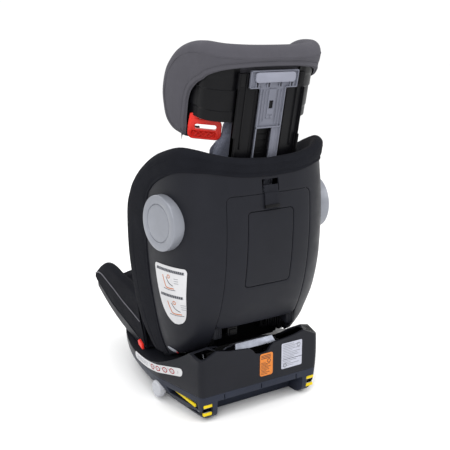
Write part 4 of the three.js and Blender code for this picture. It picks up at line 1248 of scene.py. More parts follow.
def build_band():
    """Printed recline scale along each flank of the base."""
    middle = knots([(-27, 72), (40, 75.5), (81, 81.5), (109, 87), (141, 94), (173, 101),
                    (187, 103.5)])
    rows = []
    lengthwise = np.concatenate([-27 + 9 * (1 - np.cos(np.linspace(0, math.pi / 2, 7))),
                                 np.linspace(-16, 176, 40)[1:-1],
                                 187 - 9 * (1 - np.cos(np.linspace(0, math.pi / 2, 7)))[::-1]])
    for y in lengthwise:
        end = max(-27 + 9 - y, y - (187 - 9), 0) / 9
        half = 9.5 * math.sqrt(max(1 - end**2, 0)) * 0.96 + 0.4
        rows.append([(y, middle(y) + half * t) for t in np.linspace(-1, 1, 9)])
    band = ribbon("band", lambda u, v: base_at(u, v, 0.35), rows, M["label"], 0.8)
    parts = [band]
    face = lambda u, v: base_at(u, v, 1.25)
    for y in (78, 103, 128, 153):
        parts.append(ring_mark((y, middle(y)), 8.6, 2.6, face, M["print_red"], 30, 0.7))
        parts.append(stroke([(y - 15, middle(y) - 3), (y - 12, middle(y)), (y - 15, middle(y) + 3)],
                            0.9, face, M["print_grey"], 5))
        parts.append(stroke([(y - 2, middle(y) - 2), (y, middle(y) + 1), (y + 2, middle(y) - 2)],
                            0.8, face, M["print_grey"], 5))
    parts.append(stroke([(171, middle(171) - 3), (174, middle(172)), (171, middle(171) + 3)], 0.8,
                        face, M["print_grey"], 5))
    for z in (-4, 0, 4):
        parts.append(stroke([(-12, middle(0) + z - 1), (15, middle(15) + z), (52, middle(52) + z)],
                            0.7, face, M["print_grey"], 8))
    obj = join("recline_marks_left", parts)
    place(obj, "base", "label_white", ["position_band_left"])
    mirrored_copy(obj, "recline_marks_right", "base", "label_white", ["position_band_right"])


def shell_at(y, z, off):
    return shell.at(shell.s_of_y(y, z), z, off)


def build_side_label():
    """The routing sticker low on each flank: hatched bars over two simple line drawings."""
    edge = spline([(118, 346), (122, 318), (129, 282), (138, 250), (152, 226), (172, 213),
                   (192, 224), (203, 248), (211, 290),
                   (216, 320), (220, 350)], 60)
    levels = np.concatenate([np.linspace(0, 0.93, 28),
                             0.93 + 0.07 * np.sin(np.linspace(0, math.pi / 2, 7))[1:]])
    rows = []
    for t in levels:
        z = 214.5 + (346 - 214.5) * t
        y_left = np.interp(z, edge[:31, 1][::-1], edge[:31, 0][::-1])
        y_right = np.interp(z, edge[31:, 1], edge[31:, 0])
        if t == 0:
            y_left, y_right = 167, 177
        corner = 7.0 * (1 - math.sqrt(1 - min(max((t - 0.93) / 0.07, 0), 1) ** 2))
        y_left, y_right = y_left + corner, y_right - corner
        rows.append([(y_left * (1 - u) + y_right * u, z + 3.0 * u * t)
                     for u in np.linspace(0, 1, 22)])
    film = ribbon("film", lambda u, v: shell_at(u, v, 0.75), rows, M["label"], 0.6)
    parts = [film]
    face = lambda u, v: shell_at(u, v, 1.4)

    def bar(y0, y1, z0, z1, material, tilt=0.0):
        grid_rows = [[(y0 * (1 - u) + y1 * u, z + tilt * u) for u in np.linspace(0, 1, 8)]
                     for z in (z0, z1)]
        return ribbon("mark", face, grid_rows, material, PRINT)

    for z0, z1 in ((333, 339), (276, 282)):
        y0, y1 = (126, 212) if z0 > 300 else (137, 203)
        parts.append(bar(y0, y1, z0, z1, M["print_grey"], 2.5))
        count = int((y1 - y0) / 5)
        for k in range(count):
            y = y0 + 2.5 + 5 * k
            tilt = 2.5 * (y - y0) / (y1 - y0)
            parts.append(stroke([(y - 1.5, z0 + tilt), (y, (z0 + z1) / 2 + tilt),
                                 (y + 1.5, z1 + tilt)], 2.0,
                                lambda u, v: shell_at(u, v, 1.55), M["print_dark"], 5))
    for base_z, base_y in ((298, 148), (240, 158)):
        seat_line = [(base_y, base_z + 26), (base_y + 6, base_z + 10), (base_y + 12, base_z),
                     (base_y + 34, base_z + 1)]
        parts.append(stroke(seat_line, 2.0, face, M["print_orange"], 14))
        parts.append(stroke([(base_y + 12, base_z + 24), (base_y + 20, base_z + 12),
                             (base_y + 32, base_z + 7)], 1.4, face,
                            M["print_dark"], 10))
        parts.append(ring_mark((base_y + 20, base_z + 26), 4.4, 1.5, face, M["print_orange"], 18))
        parts.append(stroke([(base_y + 2, base_z - 3), (base_y + 20, base_z - 4),
                             (base_y + 38, base_z - 2)], 1.0, face,
                            M["print_dark"], 8))
        for k in range(3):
            y0 = base_y + 36
            parts.append(stroke([(y0, base_z + 24 - 5 * k), (y0 + 6, base_z + 24.4 - 5 * k),
                                 (y0 + 12, base_z + 25 - 5 * k)], 0.9,
                                face, M["print_grey"], 4))
    obj = join("routing_label_left", parts)
    place(obj, "seat", "label_white", ["side_label_left"])
    mirrored_copy(obj, "routing_label_right", "seat", "label_white", ["side_label_right"])


def build_pointer():
    """Silver cap with a red dot that points at the recline scale."""
    turn = -0.32
    rows = []
    for r in (1.0, 0.9, 0.6, 0.25, 0.02):
        row = []
        for t in np.linspace(0, 2 * math.pi, 40, endpoint=False):
            u, v = 13 * r * math.cos(t), 5.5 * r * math.sin(t)
            row.append(shell_at(128 + u * math.cos(turn) - v * math.sin(turn),
                                136 + u * math.sin(turn) + v * math.cos(turn),
                                0.9 + 1.9 * (1 - r * r) ** 0.5))
        rows.append(row)
    points = np.array(rows)
    obj = new_object("pointer", points.reshape(-1, 3),
                     grid_faces(5, 40, True) + [tuple(range(160, 200))], M["silver"])
    outwards(obj, (0, 60, 136))
    add_modifier(obj, "SOLIDIFY", thickness=0.7 * MM, offset=-1.0)
    bake(obj)
    tip = lambda u, v: shell_at(u, v, 2.2)
    dot = ribbon("mark", tip, [[(139 + 2.4 * k * math.cos(t), 132.2 + 2.4 * k * math.sin(t))
                                for t in np.linspace(0, 2 * math.pi, 16)]
                               for k in (1.0, 0.1)], M["print_red"], 0.3)
    made = join("recline_pointer_cap_left", [obj, dot])
    place(made, "seat", "silver_plastic", ["recline_pointer_left"])
    mirrored_copy(made, "recline_pointer_cap_right", "seat", "silver_plastic",
                  ["recline_pointer_right"])


def build_stickers():
    """Two approval stickers on the base's rear wall, with generic lines for print."""
    def wall(u, v):
        return (u, REAR_Y + 0.15, v)

    def on(u, v, lift=0.75):
        return (u, REAR_Y + lift, v)

    def panel(x0, x1, z0, z1, r, material):
        loops = [rounded_loop(x0 + d, x1 - d, z0 + d, z1 - d, max(r - d, 0.8), 4, 5)
                 for d in (0, 2.0, 8.0)]
        return ribbon("sheet", wall,
                      [list(map(tuple, np.vstack([loop, loop[:1]]))) for loop in loops]
                      + [[((x0 + x1) / 2 + 0.01 * i, (z0 + z1) / 2)
                          for i in range(len(loops[0]) + 1)]], material, 0.5)

    def line(x0, x1, z, width, material):
        return stroke([(x0, z), ((x0 + x1) / 2, z), (x1, z)], width, on, material, 4)

    parts = [panel(-30, 5, 76, 130, 5, M["orange"])]
    for z in (125, 121.5, 118):
        parts.append(line(2, -24, z, 1.3, M["print_dark"]))
    parts.append(ring_mark((-19, 111), 4.6, 1.1, on, M["print_dark"], 20))
    for k, end in enumerate((-10, -22, -16, -24, -18, -20, -12, -22, -15)):
        parts.append(line(2, end, 108 - 3.4 * k, 0.8, M["print_dark"]))
    orange = join("approval_sticker_orange", parts)
    place(orange, "base", "label_white")
    parts = [panel(-112, -54, 80, 142, 3, M["paper"])]
    for k, end in enumerate((-88, -104, -92, -108, -84, -106, -98, -102, -90, -108, -96, -80, -104,
                             -88)):
        parts.append(line(-58, max(end, -106), 138 - 4.0 * k, 0.9, M["print_grey"]))
    for x, z in ((-102, 132), (-64, 88)):
        parts.append(ring_mark((x, z), 5.0, 1.2, on, M["print_grey"], 20))
    parts.append(line(-57, -112, 102, 0.8, M["print_dark"]))
    white = join("approval_sticker_white", parts)
    place(white, "base", "label_white")


KNOB_X, KNOB_Y, KNOB_Z = 162.5, 84, 27
KNOB_PROFILE = [(11.5, -9), (12, -8.6), (12, 4), (16.2, 4.2), (17.5, 5.6), (17.5, 8.5), (20.3, 9.6),
                (20.3, 18.5),
                (19.6, 20.8), (17.6, 22.6), (14.5, 23.2), (13.6, 22.4), (6, 22.1), (0.6, 22.0)]


def knob_groove(r, h, i):
    """Grip grooves round the knob's rim, two spots wide and two apart."""
    return 0.6 * (i % 4 < 2) if 9 < h < 21 and r > 15 else 0.0


def build_base_details():
    """Anchor mouths with yellow funnels and slides, anchor arms, ribbed knobs, lap belt tabs."""
    for sign, side in SIDES:
        x = sign * 139
        parts = []
        for z0, z1 in ((36.0, 43.6), (16.4, 23.4)):
            parts.append(box_part(x - 10.6, x + 10.6, 229.5, z1 * 0.08 + 240.6, z0, z1, M["yellow"],
                                  1.0, False))
        for a in (-11.2, 9.6):
            parts.append(box_part(x + a, x + a + 1.6, 224, 237.0, 16.4, 43.6, M["inner"], 0.4,
                                  False))
        a, b = sorted((sign * 156.5, sign * 161.0))
        parts.append(box_part(a, b, 128, 223, 34.5, 41.5, M["yellow"], 1.2, False))
        place(join(f"anchor_funnel_{side}", parts), "base", "isofix_yellow",
              [f"isofix_guide_{side}"])
        refined(f"anchor_arm_{side}", f"isofix_arm_{side}", M["steel"], 1.0, 2, 35, "bare_steel")
        knob = lathe(f"release_knob_{side}", KNOB_PROFILE, M["knob"], 120, knob_groove)
        knob.data.transform(Matrix.Translation(Vector((KNOB_X, KNOB_Y, KNOB_Z)) * MM))
        outwards(knob, (172, KNOB_Y, KNOB_Z))
        if sign < 0:
            mirror(knob)
        crease(knob, 40)
        place(knob, f"release_{side[0]}", "knob_grey", [f"isofix_release_{side}"])
        refined(f"lap_belt_tab_{side}", f"lap_belt_guide_{side}", M["red"], 1.4, 3, 30, "belt_red")


# ---- Padded pieces ------------------------------------------------------------------------------
def mesh_points(obj):
    points = np.empty(len(obj.data.vertices) * 3)
    obj.data.vertices.foreach_get("co", points)
    return points.reshape(-1, 3) / MM


def mesh_normals(obj):
    normals = np.empty(len(obj.data.vertices) * 3)
    obj.data.vertex_normals.foreach_get("vector", normals)
    return normals.reshape(-1, 3)


def set_points(obj, points):
    obj.data.vertices.foreach_set("co", (np.asarray(points) * MM).ravel())
    obj.data.update()


SIM_STEPS, SIM_PRESSURE = 20, 4.0


def puffed(name, node, material, free, cap, voxel=5.5, soften=4, shrink=2.0):
    """A soft solid filled out by a short cloth simulation; free(normals) says what may give."""
    obj = node_copy(name, node, material)
    weld(obj, 0.01)
    set_points(obj, mesh_points(obj) - shrink * mesh_normals(obj))
    add_modifier(obj, "REMESH", mode="VOXEL", voxel_size=voxel * MM, use_smooth_shade=True)
    bake(obj)
    with edited(obj) as bm:
        for _ in range(soften):
            bmesh.ops.smooth_vert(bm, verts=bm.verts, factor=0.5, use_axis_x=True, use_axis_y=True,
                                  use_axis_z=True)
    start = mesh_points(obj)
    give = free(mesh_normals(obj))[:, None]
    sim = add_modifier(obj, "CLOTH")
    sim.settings.quality = 4
    sim.settings.use_pressure = True
    sim.settings.uniform_pressure_force = SIM_PRESSURE
    sim.settings.effector_weights.gravity = 0.0
    sim.collision_settings.use_collision = False
    for step in range(1, SIM_STEPS + 1):
        scene.frame_set(step)
    graph = bpy.context.evaluated_depsgraph_get()
    blown = obj.evaluated_get(graph)
    end = np.empty(len(start) * 3)
    blown.data.vertices.foreach_get("co", end)
    move = end.reshape(-1, 3) / MM - start
    obj.modifiers.clear()
    size = np.linalg.norm(move, axis=1)[:, None] + 1e-9
    limit = 0.3 + give * cap
    set_points(obj, start + move / size * np.minimum(size, limit))
    scene.frame_set(1)
    add_modifier(obj, "SUBSURF", levels=1, render_levels=1)
    bake(obj)
    all_smooth(obj)
    return obj


def sewn(obj, distance, facing, depth=3.0, width=5.0):
    """Presses sewn channels in. distance(points) is how far each point is from the nearest seam."""
    points, normals = mesh_points(obj), mesh_normals(obj)
    towards = np.clip(normals @ np.asarray(facing, float), 0, 1)
    dip = depth * np.exp(-(distance(points) / width) ** 2) * towards
    set_points(obj, points - normals * dip[:, None])


def paint(obj, material, chosen):
    """Gives the faces whose centre and normal are chosen another material."""
    obj.data.materials.append(material)
    index = len(obj.data.materials) - 1
    for face in obj.data.polygons:
        if chosen(face.center / MM, face.normal):
            face.material_index = index


def onto(obj, points, direction, lift=0.3):
    """The points carried along a direction until they meet the piece."""
    tree = BVHTree.FromPolygons([v.co for v in obj.data.vertices],
                                [p.vertices[:] for p in obj.data.polygons])
    direction = Vector(direction).normalized()
    out = []
    for p in points:
        hit, normal, _, _ = tree.ray_cast(Vector(p) * MM - direction * 0.15, direction)
        if hit is not None:
            out.append(np.array(hit) / MM + np.array(normal) * lift)
    return np.array(out)


def mirrored_piece(obj, name, node):
    """The right-hand twin of a left-hand piece, standing for its own node."""
    return mirrored_copy(obj, name, frame_body(node), obj["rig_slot"], [node])


def seam_line(name, obj, points, direction, body, slot_name, material="piping", radius=1.1,
              lift=0.2, dashes=False):
    path = onto(obj, points, direction, lift)
    if len(path) < 4:
        return None
    count = max(int(np.linalg.norm(np.diff(path, axis=0), axis=1).sum() / 3), 12)
    path = spline(path[::2] if len(path) > 30 else path, count)
    made = stitches(name, path, M[material], 3.2, 1.8, 0.4) if dashes else tube(name, path, radius,
                                                                                M[material], 6)
    return place(made, body, slot_name)


def straight(a, b, count=60):
    return np.linspace(np.array(a, float), np.array(b, float), count)


def build_seat_cushion():
    """Seat pad with sewn channels."""
    obj = puffed("seat_pad", "seat_cushion", M["seat_cloth"],
                 lambda n: np.clip(n[:, 2] * 1.2, 0, 1) + np.clip(-n[:, 1], 0, 1) * 0.6, 8.0)
    lanes, rows = np.array([-82.0, 82.0]), np.array([-168.0, -96.0, -24.0, 48.0])

    def distance(p):
        side = np.abs(np.abs(p[:, 0]) - lanes[1]) + np.where(p[:, 1] < -236, 60, 0)
        cross = np.abs(p[:, 1:2] - rows).min(1) + np.clip(np.abs(p[:, 0]) - lanes[1], 0, None)
        front = np.abs(p[:, 1] + 236) + np.clip(np.abs(p[:, 0]) - 118, 0, None)
        return np.minimum(np.minimum(side, cross), front)

    sewn(obj, distance, (0, 0, 1), 4.0, 5.5)
    paint(obj, M["mesh_cloth"], lambda c, n: abs(c.x) < 82 and -236 < c.y and n.z > 0.55)
    place(obj, "seat", "cloth_black", ["seat_cushion"])
    for x in lanes:
        seam_line(f"seat_pad_seam_{'left' if x > 0 else 'right'}", obj,
                  straight((x, -232, 400), (x, 100, 400)), (0, 0, -1),
                  "seat", "cloth_black")
    seam_line("seat_pad_seam_front", obj, straight((-116, -236, 400), (116, -236, 400)), (0, 0, -1),
              "seat", "cloth_black")


def build_back_cushion():
    """Back pad with sewn channels."""
    obj = puffed("back_pad", "back_cushion", M["seat_cloth"],
                 lambda n: np.clip(-n[:, 1] * 1.3, 0, 1), 9.0)
    rows = np.array([268.0, 326.0, 384.0, 442.0])

    def distance(p):
        side = np.abs(np.abs(p[:, 0]) - 76)
        cross = np.abs(p[:, 2:3] - rows).min(1) + np.clip(np.abs(p[:, 0]) - 76, 0, None)
        return np.minimum(side, cross)

    sewn(obj, distance, (0, -1, 0), 4.0, 5.5)
    paint(obj, M["mesh_cloth"], lambda c, n: abs(c.x) < 76 and n.y < -0.55)
    place(obj, "seat", "cloth_black", ["back_cushion"])
    for x in (-76, 76):
        seam_line(f"back_pad_seam_{'left' if x > 0 else 'right'}", obj,
                  straight((x, -200, 224), (x, -200, 494)), (0, 1, 0),
                  "seat", "cloth_black")


def build_side_cushions():
    """Pads on the inside of the flanks."""
    obj = puffed("side_pad_left", "side_cushion_left", M["seat_cloth"],
                 lambda n: np.clip(-n[:, 0] * 1.2 - n[:, 1] * 0.8, 0, 1), 7.0)
    sewn(obj, lambda p: np.abs(p[:, 2:3] - np.array([290.0, 350.0])).min(1), (-1, 0, 0), 2.5, 5.0)
    place(obj, "seat", "cloth_black", ["side_cushion_left"])
    other = mirrored_piece(obj, "side_pad_right", "side_cushion_right")


def build_headrest_pad():
    """Lining inside the headrest."""

    def free(n):
        return np.clip(-(n @ TILT) * 1.2, 0, 1) * 0.8 + np.clip(-n[:, 1], 0, 1) * 0.2

    obj = puffed("headrest_lining", "headrest_pad", M["grey_cloth"], free, 6.0)

    def local(p):
        q = p - SLIDE
        return np.stack([q[:, 0], q[:, 1] * math.cos(LEAN) - q[:, 2] * math.sin(LEAN),
                         q[:, 1] * math.sin(LEAN) + q[:, 2] * math.cos(LEAN)], -1)

    def distance(p):
        q = local(p)
        return np.minimum(np.abs(np.abs(q[:, 0]) - 78),
                          np.abs(q[:, 2] - 178) + np.clip(np.abs(q[:, 0]) - 78, 0, None))

    sewn(obj, distance, -TILT, 3.5, 5.5)
    place(obj, "headrest", "cloth_grey", ["headrest_pad"])
    for x in (-78, 78):
        line = lean(straight((x, -200, 96), (x, -200, 214)))
        seam_line(f"headrest_lining_seam_{'left' if x > 0 else 'right'}", obj, line, TILT,
                  "headrest", "cloth_grey")


def build_neck_pad():
    """Mottled apron below the headrest, with a darker border."""
    obj = puffed("neck_apron", "neck_pad", M["neck_cloth"], lambda n: np.abs(n @ TILT), 2.5, 4.5, 3,
                 1.5)
    points = mesh_points(obj)
    height = up_the_lean(points[:, 1], points[:, 2])
    points[:, 0] *= 1 + 0.09 * smooth_step(-4, 26, height)
    set_points(obj, points)

    def distance(p):
        up = up_the_lean(p[:, 1], p[:, 2])
        edge = 102 - np.abs(p[:, 0]) - np.clip(up, 0, 84) * 0.45
        return np.minimum(np.abs(edge - 9),
                          np.abs(up[:, None] - np.array([-60.0, -24.0, 40.0])).min(1))

    sewn(obj, distance, -TILT, 2.0, 4.0)
    sewn(obj, distance, TILT, 1.6, 4.0)

    def border(c, n):
        up = up_the_lean(c.y, c.z)
        return 102 - abs(c.x) - min(max(up, 0), 84) * 0.36 < 7

    paint(obj, M["neck_edge"], border)
    place(obj, "headrest", "cloth_grey", ["neck_pad"])


def build_shoulder_pads():
    """Stitched sleeves round the shoulder webbing."""
    obj = puffed("shoulder_pad_sleeve_left", "shoulder_pad_left", M["seat_cloth"],
                 lambda n: np.abs(n @ TILT) * 0.9 + 0.1,
                 3.0, 4.0, 2, 1.2)
    sewn(obj, lambda p: np.minimum(np.abs(p[:, 0] - 16), np.abs(p[:, 0] - 52)), -TILT, 2.0, 3.0)
    place(obj, frame_body("shoulder_pad_left"), "cloth_black", ["shoulder_pad_left"])
    for x, side in ((16, "inner"), (52, "outer")):
        line = lean(straight((x, -200, -160), (x, -200, -14)))
        path = onto(obj, line, TILT, 0.3)
        if len(path) > 4:
            dash = place(stitches(f"shoulder_stitch_{side}_left", spline(path, 60), M["thread"],
                                  3.0, 1.8, 0.4),
                         frame_body("shoulder_pad_left"), "cloth_black")
            mirrored_copy(dash, f"shoulder_stitch_{side}_right", frame_body("shoulder_pad_right"),
                          "cloth_black")
    other = mirrored_piece(obj, "shoulder_pad_sleeve_right", "shoulder_pad_right")


PAN_X = knots([(40, 150), (110, 159), (165, 167), (215, 174), (270, 177)])
WING_TOP = knots([(-275, 200), (-262, 221), (-235, 241), (-194, 255), (-118, 244), (-60, 233),
                  (-16, 226)])
WING_LOW = knots([(-275, 196), (-262, 188), (-240, 176), (-185, 146), (-103, 119), (-16, 90)])
WING_IN = knots([(-275, 192), (-256, 180), (-200, 142), (-120, 120), (-16, 114)])


def build_seat_wings():
    """Padded covers pulled over both sides of the seat pan."""
    stations = np.concatenate([np.linspace(-275, -262, 9), np.linspace(-259, -18, 84)])
    rows = []
    for y in stations:
        end = smooth_step(-276, -255, y)
        low, top, inner = WING_LOW(y), WING_TOP(y), WING_IN(y)
        radius = 2 + 8.5 * end
        row = [(PAN_X(low) + 0.8 + 1.2 * k, low + 1.2 * k) for k in (0, 0.5, 1.0)]
        for t in np.linspace(0.02, 1, 20):
            z = low + 2 + (top - radius - low - 2) * t
            row.append((PAN_X(z) + 2.6 + 2.4 * math.sin(math.pi * t) ** 0.8 * end, z))
        x_top = PAN_X(top - radius) + 2.6
        for a in np.linspace(0, math.pi, 12)[1:]:
            row.append((x_top - radius * 1.15 * (1 - math.cos(a)),
                        top - radius + radius * math.sin(a)))
        x_in, z_in = row[-1]
        for t in np.linspace(0, 1, 18)[1:]:
            z = z_in + (inner - z_in) * t
            bulge = 15 * math.sin(math.pi * min(t * 1.05, 1)) ** 0.7 * end
            row.append((max(x_in - bulge - 6 * t * end, 130.5), z))
        rows.append([(x, y, z) for x, z in row])
    rows = np.array(rows)
    wave = 0.5 * np.sin(rows[..., 1] / 13 + rows[..., 2] / 21) + 0.4 * np.sin(rows[..., 1] / 31
                                                                              - rows[..., 2] / 9
                                                                              + 1)
    rows[..., 0] += wave * 0.8
    obj = grid("seat_wing_left", rows, M["seat_cloth"])
    outwards(obj, (150, -140, 190))
    add_modifier(obj, "SOLIDIFY", thickness=1.6 * MM, offset=-1.0)
    add_modifier(obj, "SUBSURF", levels=1, render_levels=1)
    place(bake(obj), "seat", "cloth_black", ["seat_bolster_left"])
    other = mirrored_piece(obj, "seat_wing_right", "seat_bolster_right")
    line = spline([(-273, 207), (-252, 217), (-233, 220), (-206, 217), (-155, 199), (-106, 182),
                   (-50, 164), (-20, 155)], 140)
    path = onto(obj, [(400, y, z) for y, z in line], (-1, 0, 0), 0.6)
    pipe = place(tube("seat_wing_piping_left", spline(path[::2], 200), 1.5, M["piping"], 8), "seat",
                 "cloth_grey")
    mirrored_copy(pipe, "seat_wing_piping_right", "seat", "cloth_grey")
    edge = np.array([(PAN_X(WING_LOW(y)) + 2.2, y, WING_LOW(y) + 0.6)
                     for y in np.linspace(-270, -20, 60)])
    hem = place(tube("seat_wing_hem_left", spline(edge, 160), 1.3, M["rim_cloth"], 6), "seat",
                "cloth_black")
    mirrored_copy(hem, "seat_wing_hem_right", "seat", "cloth_black")


# ---- Webbing ------------------------------------------------------------------------------------
def strap(name, stations, material, thickness=1.4, columns=12, per=6.0):
    """A flat webbing through stations of a centre and a half-width direction."""
    centres = np.array([s[0] for s in stations], float)
    sides = np.array([s[1] for s in stations], float)
    run = np.linalg.norm(np.diff(centres, axis=0), axis=1).sum()
    count = max(int(run / per), 6)
    line, across = spline(centres, count), spline(sides, count)
    ahead = np.gradient(line, axis=0)
    ahead /= np.linalg.norm(ahead, axis=1)[:, None]
    half = np.linalg.norm(across, axis=1)[:, None]
    across /= half
    face = np.cross(ahead, across)
    section = [(u, thickness / 2 * (1 + 0.25 * (abs(u) > 0.86) - 0.5 * (abs(u) > 0.99)))
               for u in np.linspace(-1, 1, columns)]
    loop = section + [(u, -v) for u, v in section[::-1]]
    rows = np.array([[c + a * h * u + f * v for u, v in loop] for c, a, h,
                     f in zip(line, across, half, face)])
    obj = new_object(name, rows.reshape(-1, 3), capped_faces(count, len(loop)), material)
    outwards(obj, tuple(centres.mean(0)))
    crease(obj, 60)
    return obj


def at_buckle(x, y, z):
    tilt = math.radians(60)
    return (x, -62 + y * math.cos(tilt) + z * math.sin(tilt),
            214 - y * math.sin(tilt) + z * math.cos(tilt))


def build_webbing():
    """Harness, crotch and tether webbing."""
    def leaned_point(x, y, z):
        return tuple(lean((x, y, z)))

    upper = [leaned_point(34, y, z) for y,
             z in ((-46, 4.5), (-56, 4.5), (-66, 4.3), (-70.4, 0), (-71, -6), (-71, -40),
                   (-71, -90),
                                                  (-71, -139))]
    obj = strap("upper_webbing_left", [(p, (19, 0, 0)) for p in upper], M["webbing"])
    place(obj, frame_body("upper_strap_left"), "webbing_black", ["upper_strap_left"])
    mirrored_piece(obj, "upper_webbing_right", "upper_strap_right")

    turn = at_buckle(16.5, 0, 137)
    shoulder = [(leaned_point(34, -74.5, -160), (19, 0, 0)),
                (leaned_point(34, -74.5, -240), (19, 0, 0)),
                (leaned_point(34, -74.5, -322), (19, 0, 0)), ((27, 78, 262), (17, 0, 0)),
                (turn, (12, 0, 0))]
    lap = [((turn[0] - 2, turn[1] - 1, turn[2]), (0, 8, 3)), ((58, 14, 282), (3, 14, 4)),
           ((112, 48, 224), (2, 16, 2)),
           ((116, 52, 214), (0, 17, 1))]
    first = strap("shoulder_run", shoulder, M["webbing"])
    second = strap("lap_run", lap, M["webbing"])
    harness = join("harness_webbing_left", [first, second])
    place(harness, frame_body("harness_strap_left"), "webbing_black", ["harness_strap_left"])
    mirrored_piece(harness, "harness_webbing_right", "harness_strap_right")

    crotch = [(at_buckle(0, 0, z), (19, 0, 0)) for z in (3, 12, 21, 29.5)]
    obj = strap("crotch_webbing", crotch, M["webbing"], 1.8, per=3.0)
    place(obj, frame_body("crotch_strap"), "webbing_black", ["crotch_strap"])

    def rear(z, lift):
        return (0, float(rear_y(0, z, lift)), z)

    main = [(rear(z, 1.7), (17.5, 0, 0)) for z in (469, 480, 492, 504, 514, 520)]
    tail = strap("run", main, M["webbing"], per=3.0)
    fold = [(rear(z, lift), (17.5, 0, 0)) for z,
            lift in ((478, 3.4), (486, 3.5), (496, 3.5), (504, 3.4))]
    second = strap("fold", fold, M["webbing"], per=3.0)
    clip = box_part(-18, 18, rear_y(0, 476, 1), rear_y(0, 476, 6), 472, 479, M["inner"], 1.2, False)
    made = join("tether_webbing", [tail, second, clip])
    place(made, frame_body("tether_strap"), "webbing_black", ["tether_strap"])


# ---- Hard pieces that keep their CAD shape ------------------------------------------------------
def build_hard_parts():
    """Pieces whose CAD shape only needs its edges rounded."""
    for name, node, material, width, angle, slot_name in (
            ("buckle_body", "buckle_housing", "gloss", 2.6, 35, "buckle_black"),
            ("buckle_press_button", "buckle_button", "red", 1.6, 35, "belt_red"),
            ("strap_release_button", "adjuster_button", "knob", 1.6, 35, "knob_grey"),
            ("seat_pan_shell", "seat_pan", "shell", 1.0, 35, "shell_black"),
            ("backrest_frame", "back_frame", "inner", 1.0, 35, "inner_black"),
            ("recline_sled", "recline_carriage", "inner", 0.8, 35, "inner_black"),
            ("recline_axle_fore", "recline_axle_front", "steel", 0.6, 35, "bare_steel"),
            ("recline_axle_aft", "recline_axle_rear", "steel", 0.6, 35, "bare_steel"),
            ("recline_rail_left", "recline_track_left", "steel", 0.4, 35, "bare_steel"),
            ("recline_rail_right", "recline_track_right", "steel", 0.4, 35, "bare_steel"),
            ("recline_pull", "recline_lever", "knob", 1.8, 35, "knob_grey"),
            ("storage_tub", "storage_bin", "inner", 0.6, 35, "shell_black"),
            ("tongue_left", "buckle_tongue_left", "steel", 0.5, 30, "bare_steel"),
            ("tongue_right", "buckle_tongue_right", "steel", 0.5, 30, "bare_steel")):
        refined(name, node, M[material], width, 2, angle, slot_name)


def build_cross_plate():
    """Folded plate seen over the base's rear wall."""
    fold = [(158, 117), (159.5, 114.2), (200, 146), (211, 151), (219, 139), (222, 140.6),
            (213, 154.4), (198, 149.4)]
    obj = prism(fold, 0, -56, 56, M["plate"], "folded_cross_plate")
    cut(obj, prism([(-60, 100), (-60, 200), (-49, 156), (-55, 138), (-55, 100)], 1, 180, 240,
                   M["plate"]),
        prism([(60, 100), (60, 200), (49, 156), (55, 138), (55, 100)], 1, 180, 240, M["plate"]))
    rounded(obj, 0.6, 2, 30)
    place(bake(obj), "base", "bare_steel", ["cross_plate"])


def build_under_panel():
    """Legs, latch block and ribs of the seat that show between the backrest and the base."""
    parts = []
    for sign in (1, -1):
        a, b = sorted((sign * 87, sign * 106))
        parts.append(box_part(a, b, 148, 185, 151, 204, M["inner"], 1.5, False))
        parts.append(box_part(a, b, 190, 216, 176, 206, M["shell"], 2.0, False))
        for k in range(4):
            x = sign * (90 + 4.4 * k)
            parts.append(box_part(x - 0.9, x + 0.9, 214, 218, 178, 204, M["shell"], 0.6, False))
    parts.append(box_part(36, 62, 176, 200, 170, 190, M["gloss"], 2.0, False))
    parts.append(box_part(40, 58, 198, 203, 174, 186, M["inner"], 1.0, False))
    for k in range(7):
        parts.append(box_part(-86 + 5.4 * k, -83.4 + 5.4 * k, 150, 196 - 1.5 * k, 166, 202,
                              M["gloss"], 0.8, False))
    parts.append(box_part(-88, -46, 148, 172, 160, 200, M["inner"], 1.0, False))
    place(join("under_seat_bracket", parts), "seat", "inner_black")


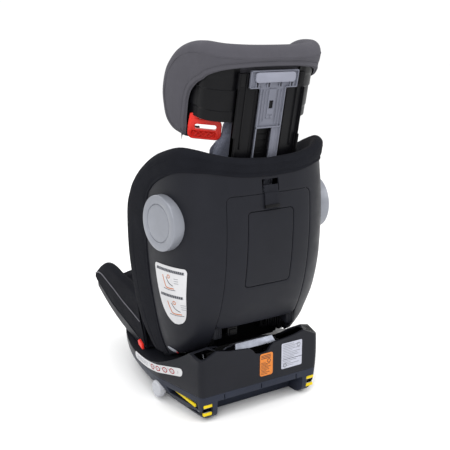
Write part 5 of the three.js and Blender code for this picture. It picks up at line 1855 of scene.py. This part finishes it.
# ---- Camera, light and floor --------------------------------------------------------------------
def build_stage():
    """Camera, floor, world and lamps."""
    camera_data = bpy.data.cameras.new("camera")
    sensor, focal, image_width = 36.0, 778.8, 450.0
    camera_data.sensor_width = sensor
    camera_data.lens = sensor * focal / image_width
    camera_data.clip_start, camera_data.clip_end = 0.05, 60.0
    camera = bpy.data.objects.new("camera", camera_data)
    turn, rise = math.radians(32.03), math.radians(14.37)
    back = Vector((math.sin(turn) * math.cos(rise), math.cos(turn) * math.cos(rise),
                   math.sin(rise)))
    camera.location = Vector((0.924, 1.567, 0.840))
    camera.rotation_mode = "QUATERNION"
    camera.rotation_quaternion = (-back).to_track_quat("-Z", "Y")
    scene.collection.objects.link(camera)
    scene.camera = camera

    floor_mesh = bpy.data.meshes.new("floor")
    reach = 14.0
    floor_mesh.from_pydata([(-reach, -reach, 0), (reach, -reach, 0), (reach, reach, 0),
                            (-reach, reach, 0)],
                           [], [(0, 1, 2, 3)])
    floor = bpy.data.objects.new("floor", floor_mesh)
    scene.collection.objects.link(floor)
    n = Nodes("floor_pale")
    n.link(n.mix(n.remap(n.noise(1.5, 3.0), 0.3, 0.7, 0.0, 1.0), (0.965, 0.965, 0.965, 1),
                 (0.985, 0.985, 0.985, 1)),
           n.shader.inputs["Base Color"])
    n.shader.inputs["Roughness"].default_value = 0.9
    floor_mesh.materials.append(n.material)

    world = bpy.data.worlds.new("world")
    scene.world = world
    world.use_nodes = True
    background = world.node_tree.nodes["Background"]
    background.inputs["Color"].default_value = (1.0, 1.0, 1.0, 1.0)
    background.inputs["Strength"].default_value = 1.05

    def lamp(name, spot, size, power, aim=(0.0, 0.0, 0.4)):
        data = bpy.data.lights.new(name, "AREA")
        data.shape = "DISK"
        data.size = size
        data.energy = power
        obj = bpy.data.objects.new(name, data)
        obj.location = spot
        obj.rotation_mode = "QUATERNION"
        obj.rotation_quaternion = (Vector(aim) - Vector(spot)).to_track_quat("-Z", "Y")
        scene.collection.objects.link(obj)

    lamp("key", (2.2, 2.6, 2.6), 1.6, 40.0)
    lamp("fill", (-2.6, 1.6, 1.8), 1.8, 15.0)
    lamp("top", (0.2, 0.9, 3.0), 1.6, 26.0)
    lamp("front", (0.4, -3.0, 2.4), 2.0, 25.0)
    scene.view_settings.view_transform = "Standard"
    scene.view_settings.look = "None"


build_shell()
build_panel()
build_door()
build_rim_cloth()
build_head_cloth()
build_head_shell()
build_guards()
build_base()
build_adjuster()
build_carrier()
build_belt_guides()
build_band()
build_side_label()
build_pointer()
build_stickers()
build_base_details()
build_cross_plate()
build_under_panel()
build_seat_cushion()
build_back_cushion()
build_side_cushions()
build_headrest_pad()
build_neck_pad()
build_shoulder_pads()
build_seat_wings()
build_webbing()
build_hard_parts()
build_stage()
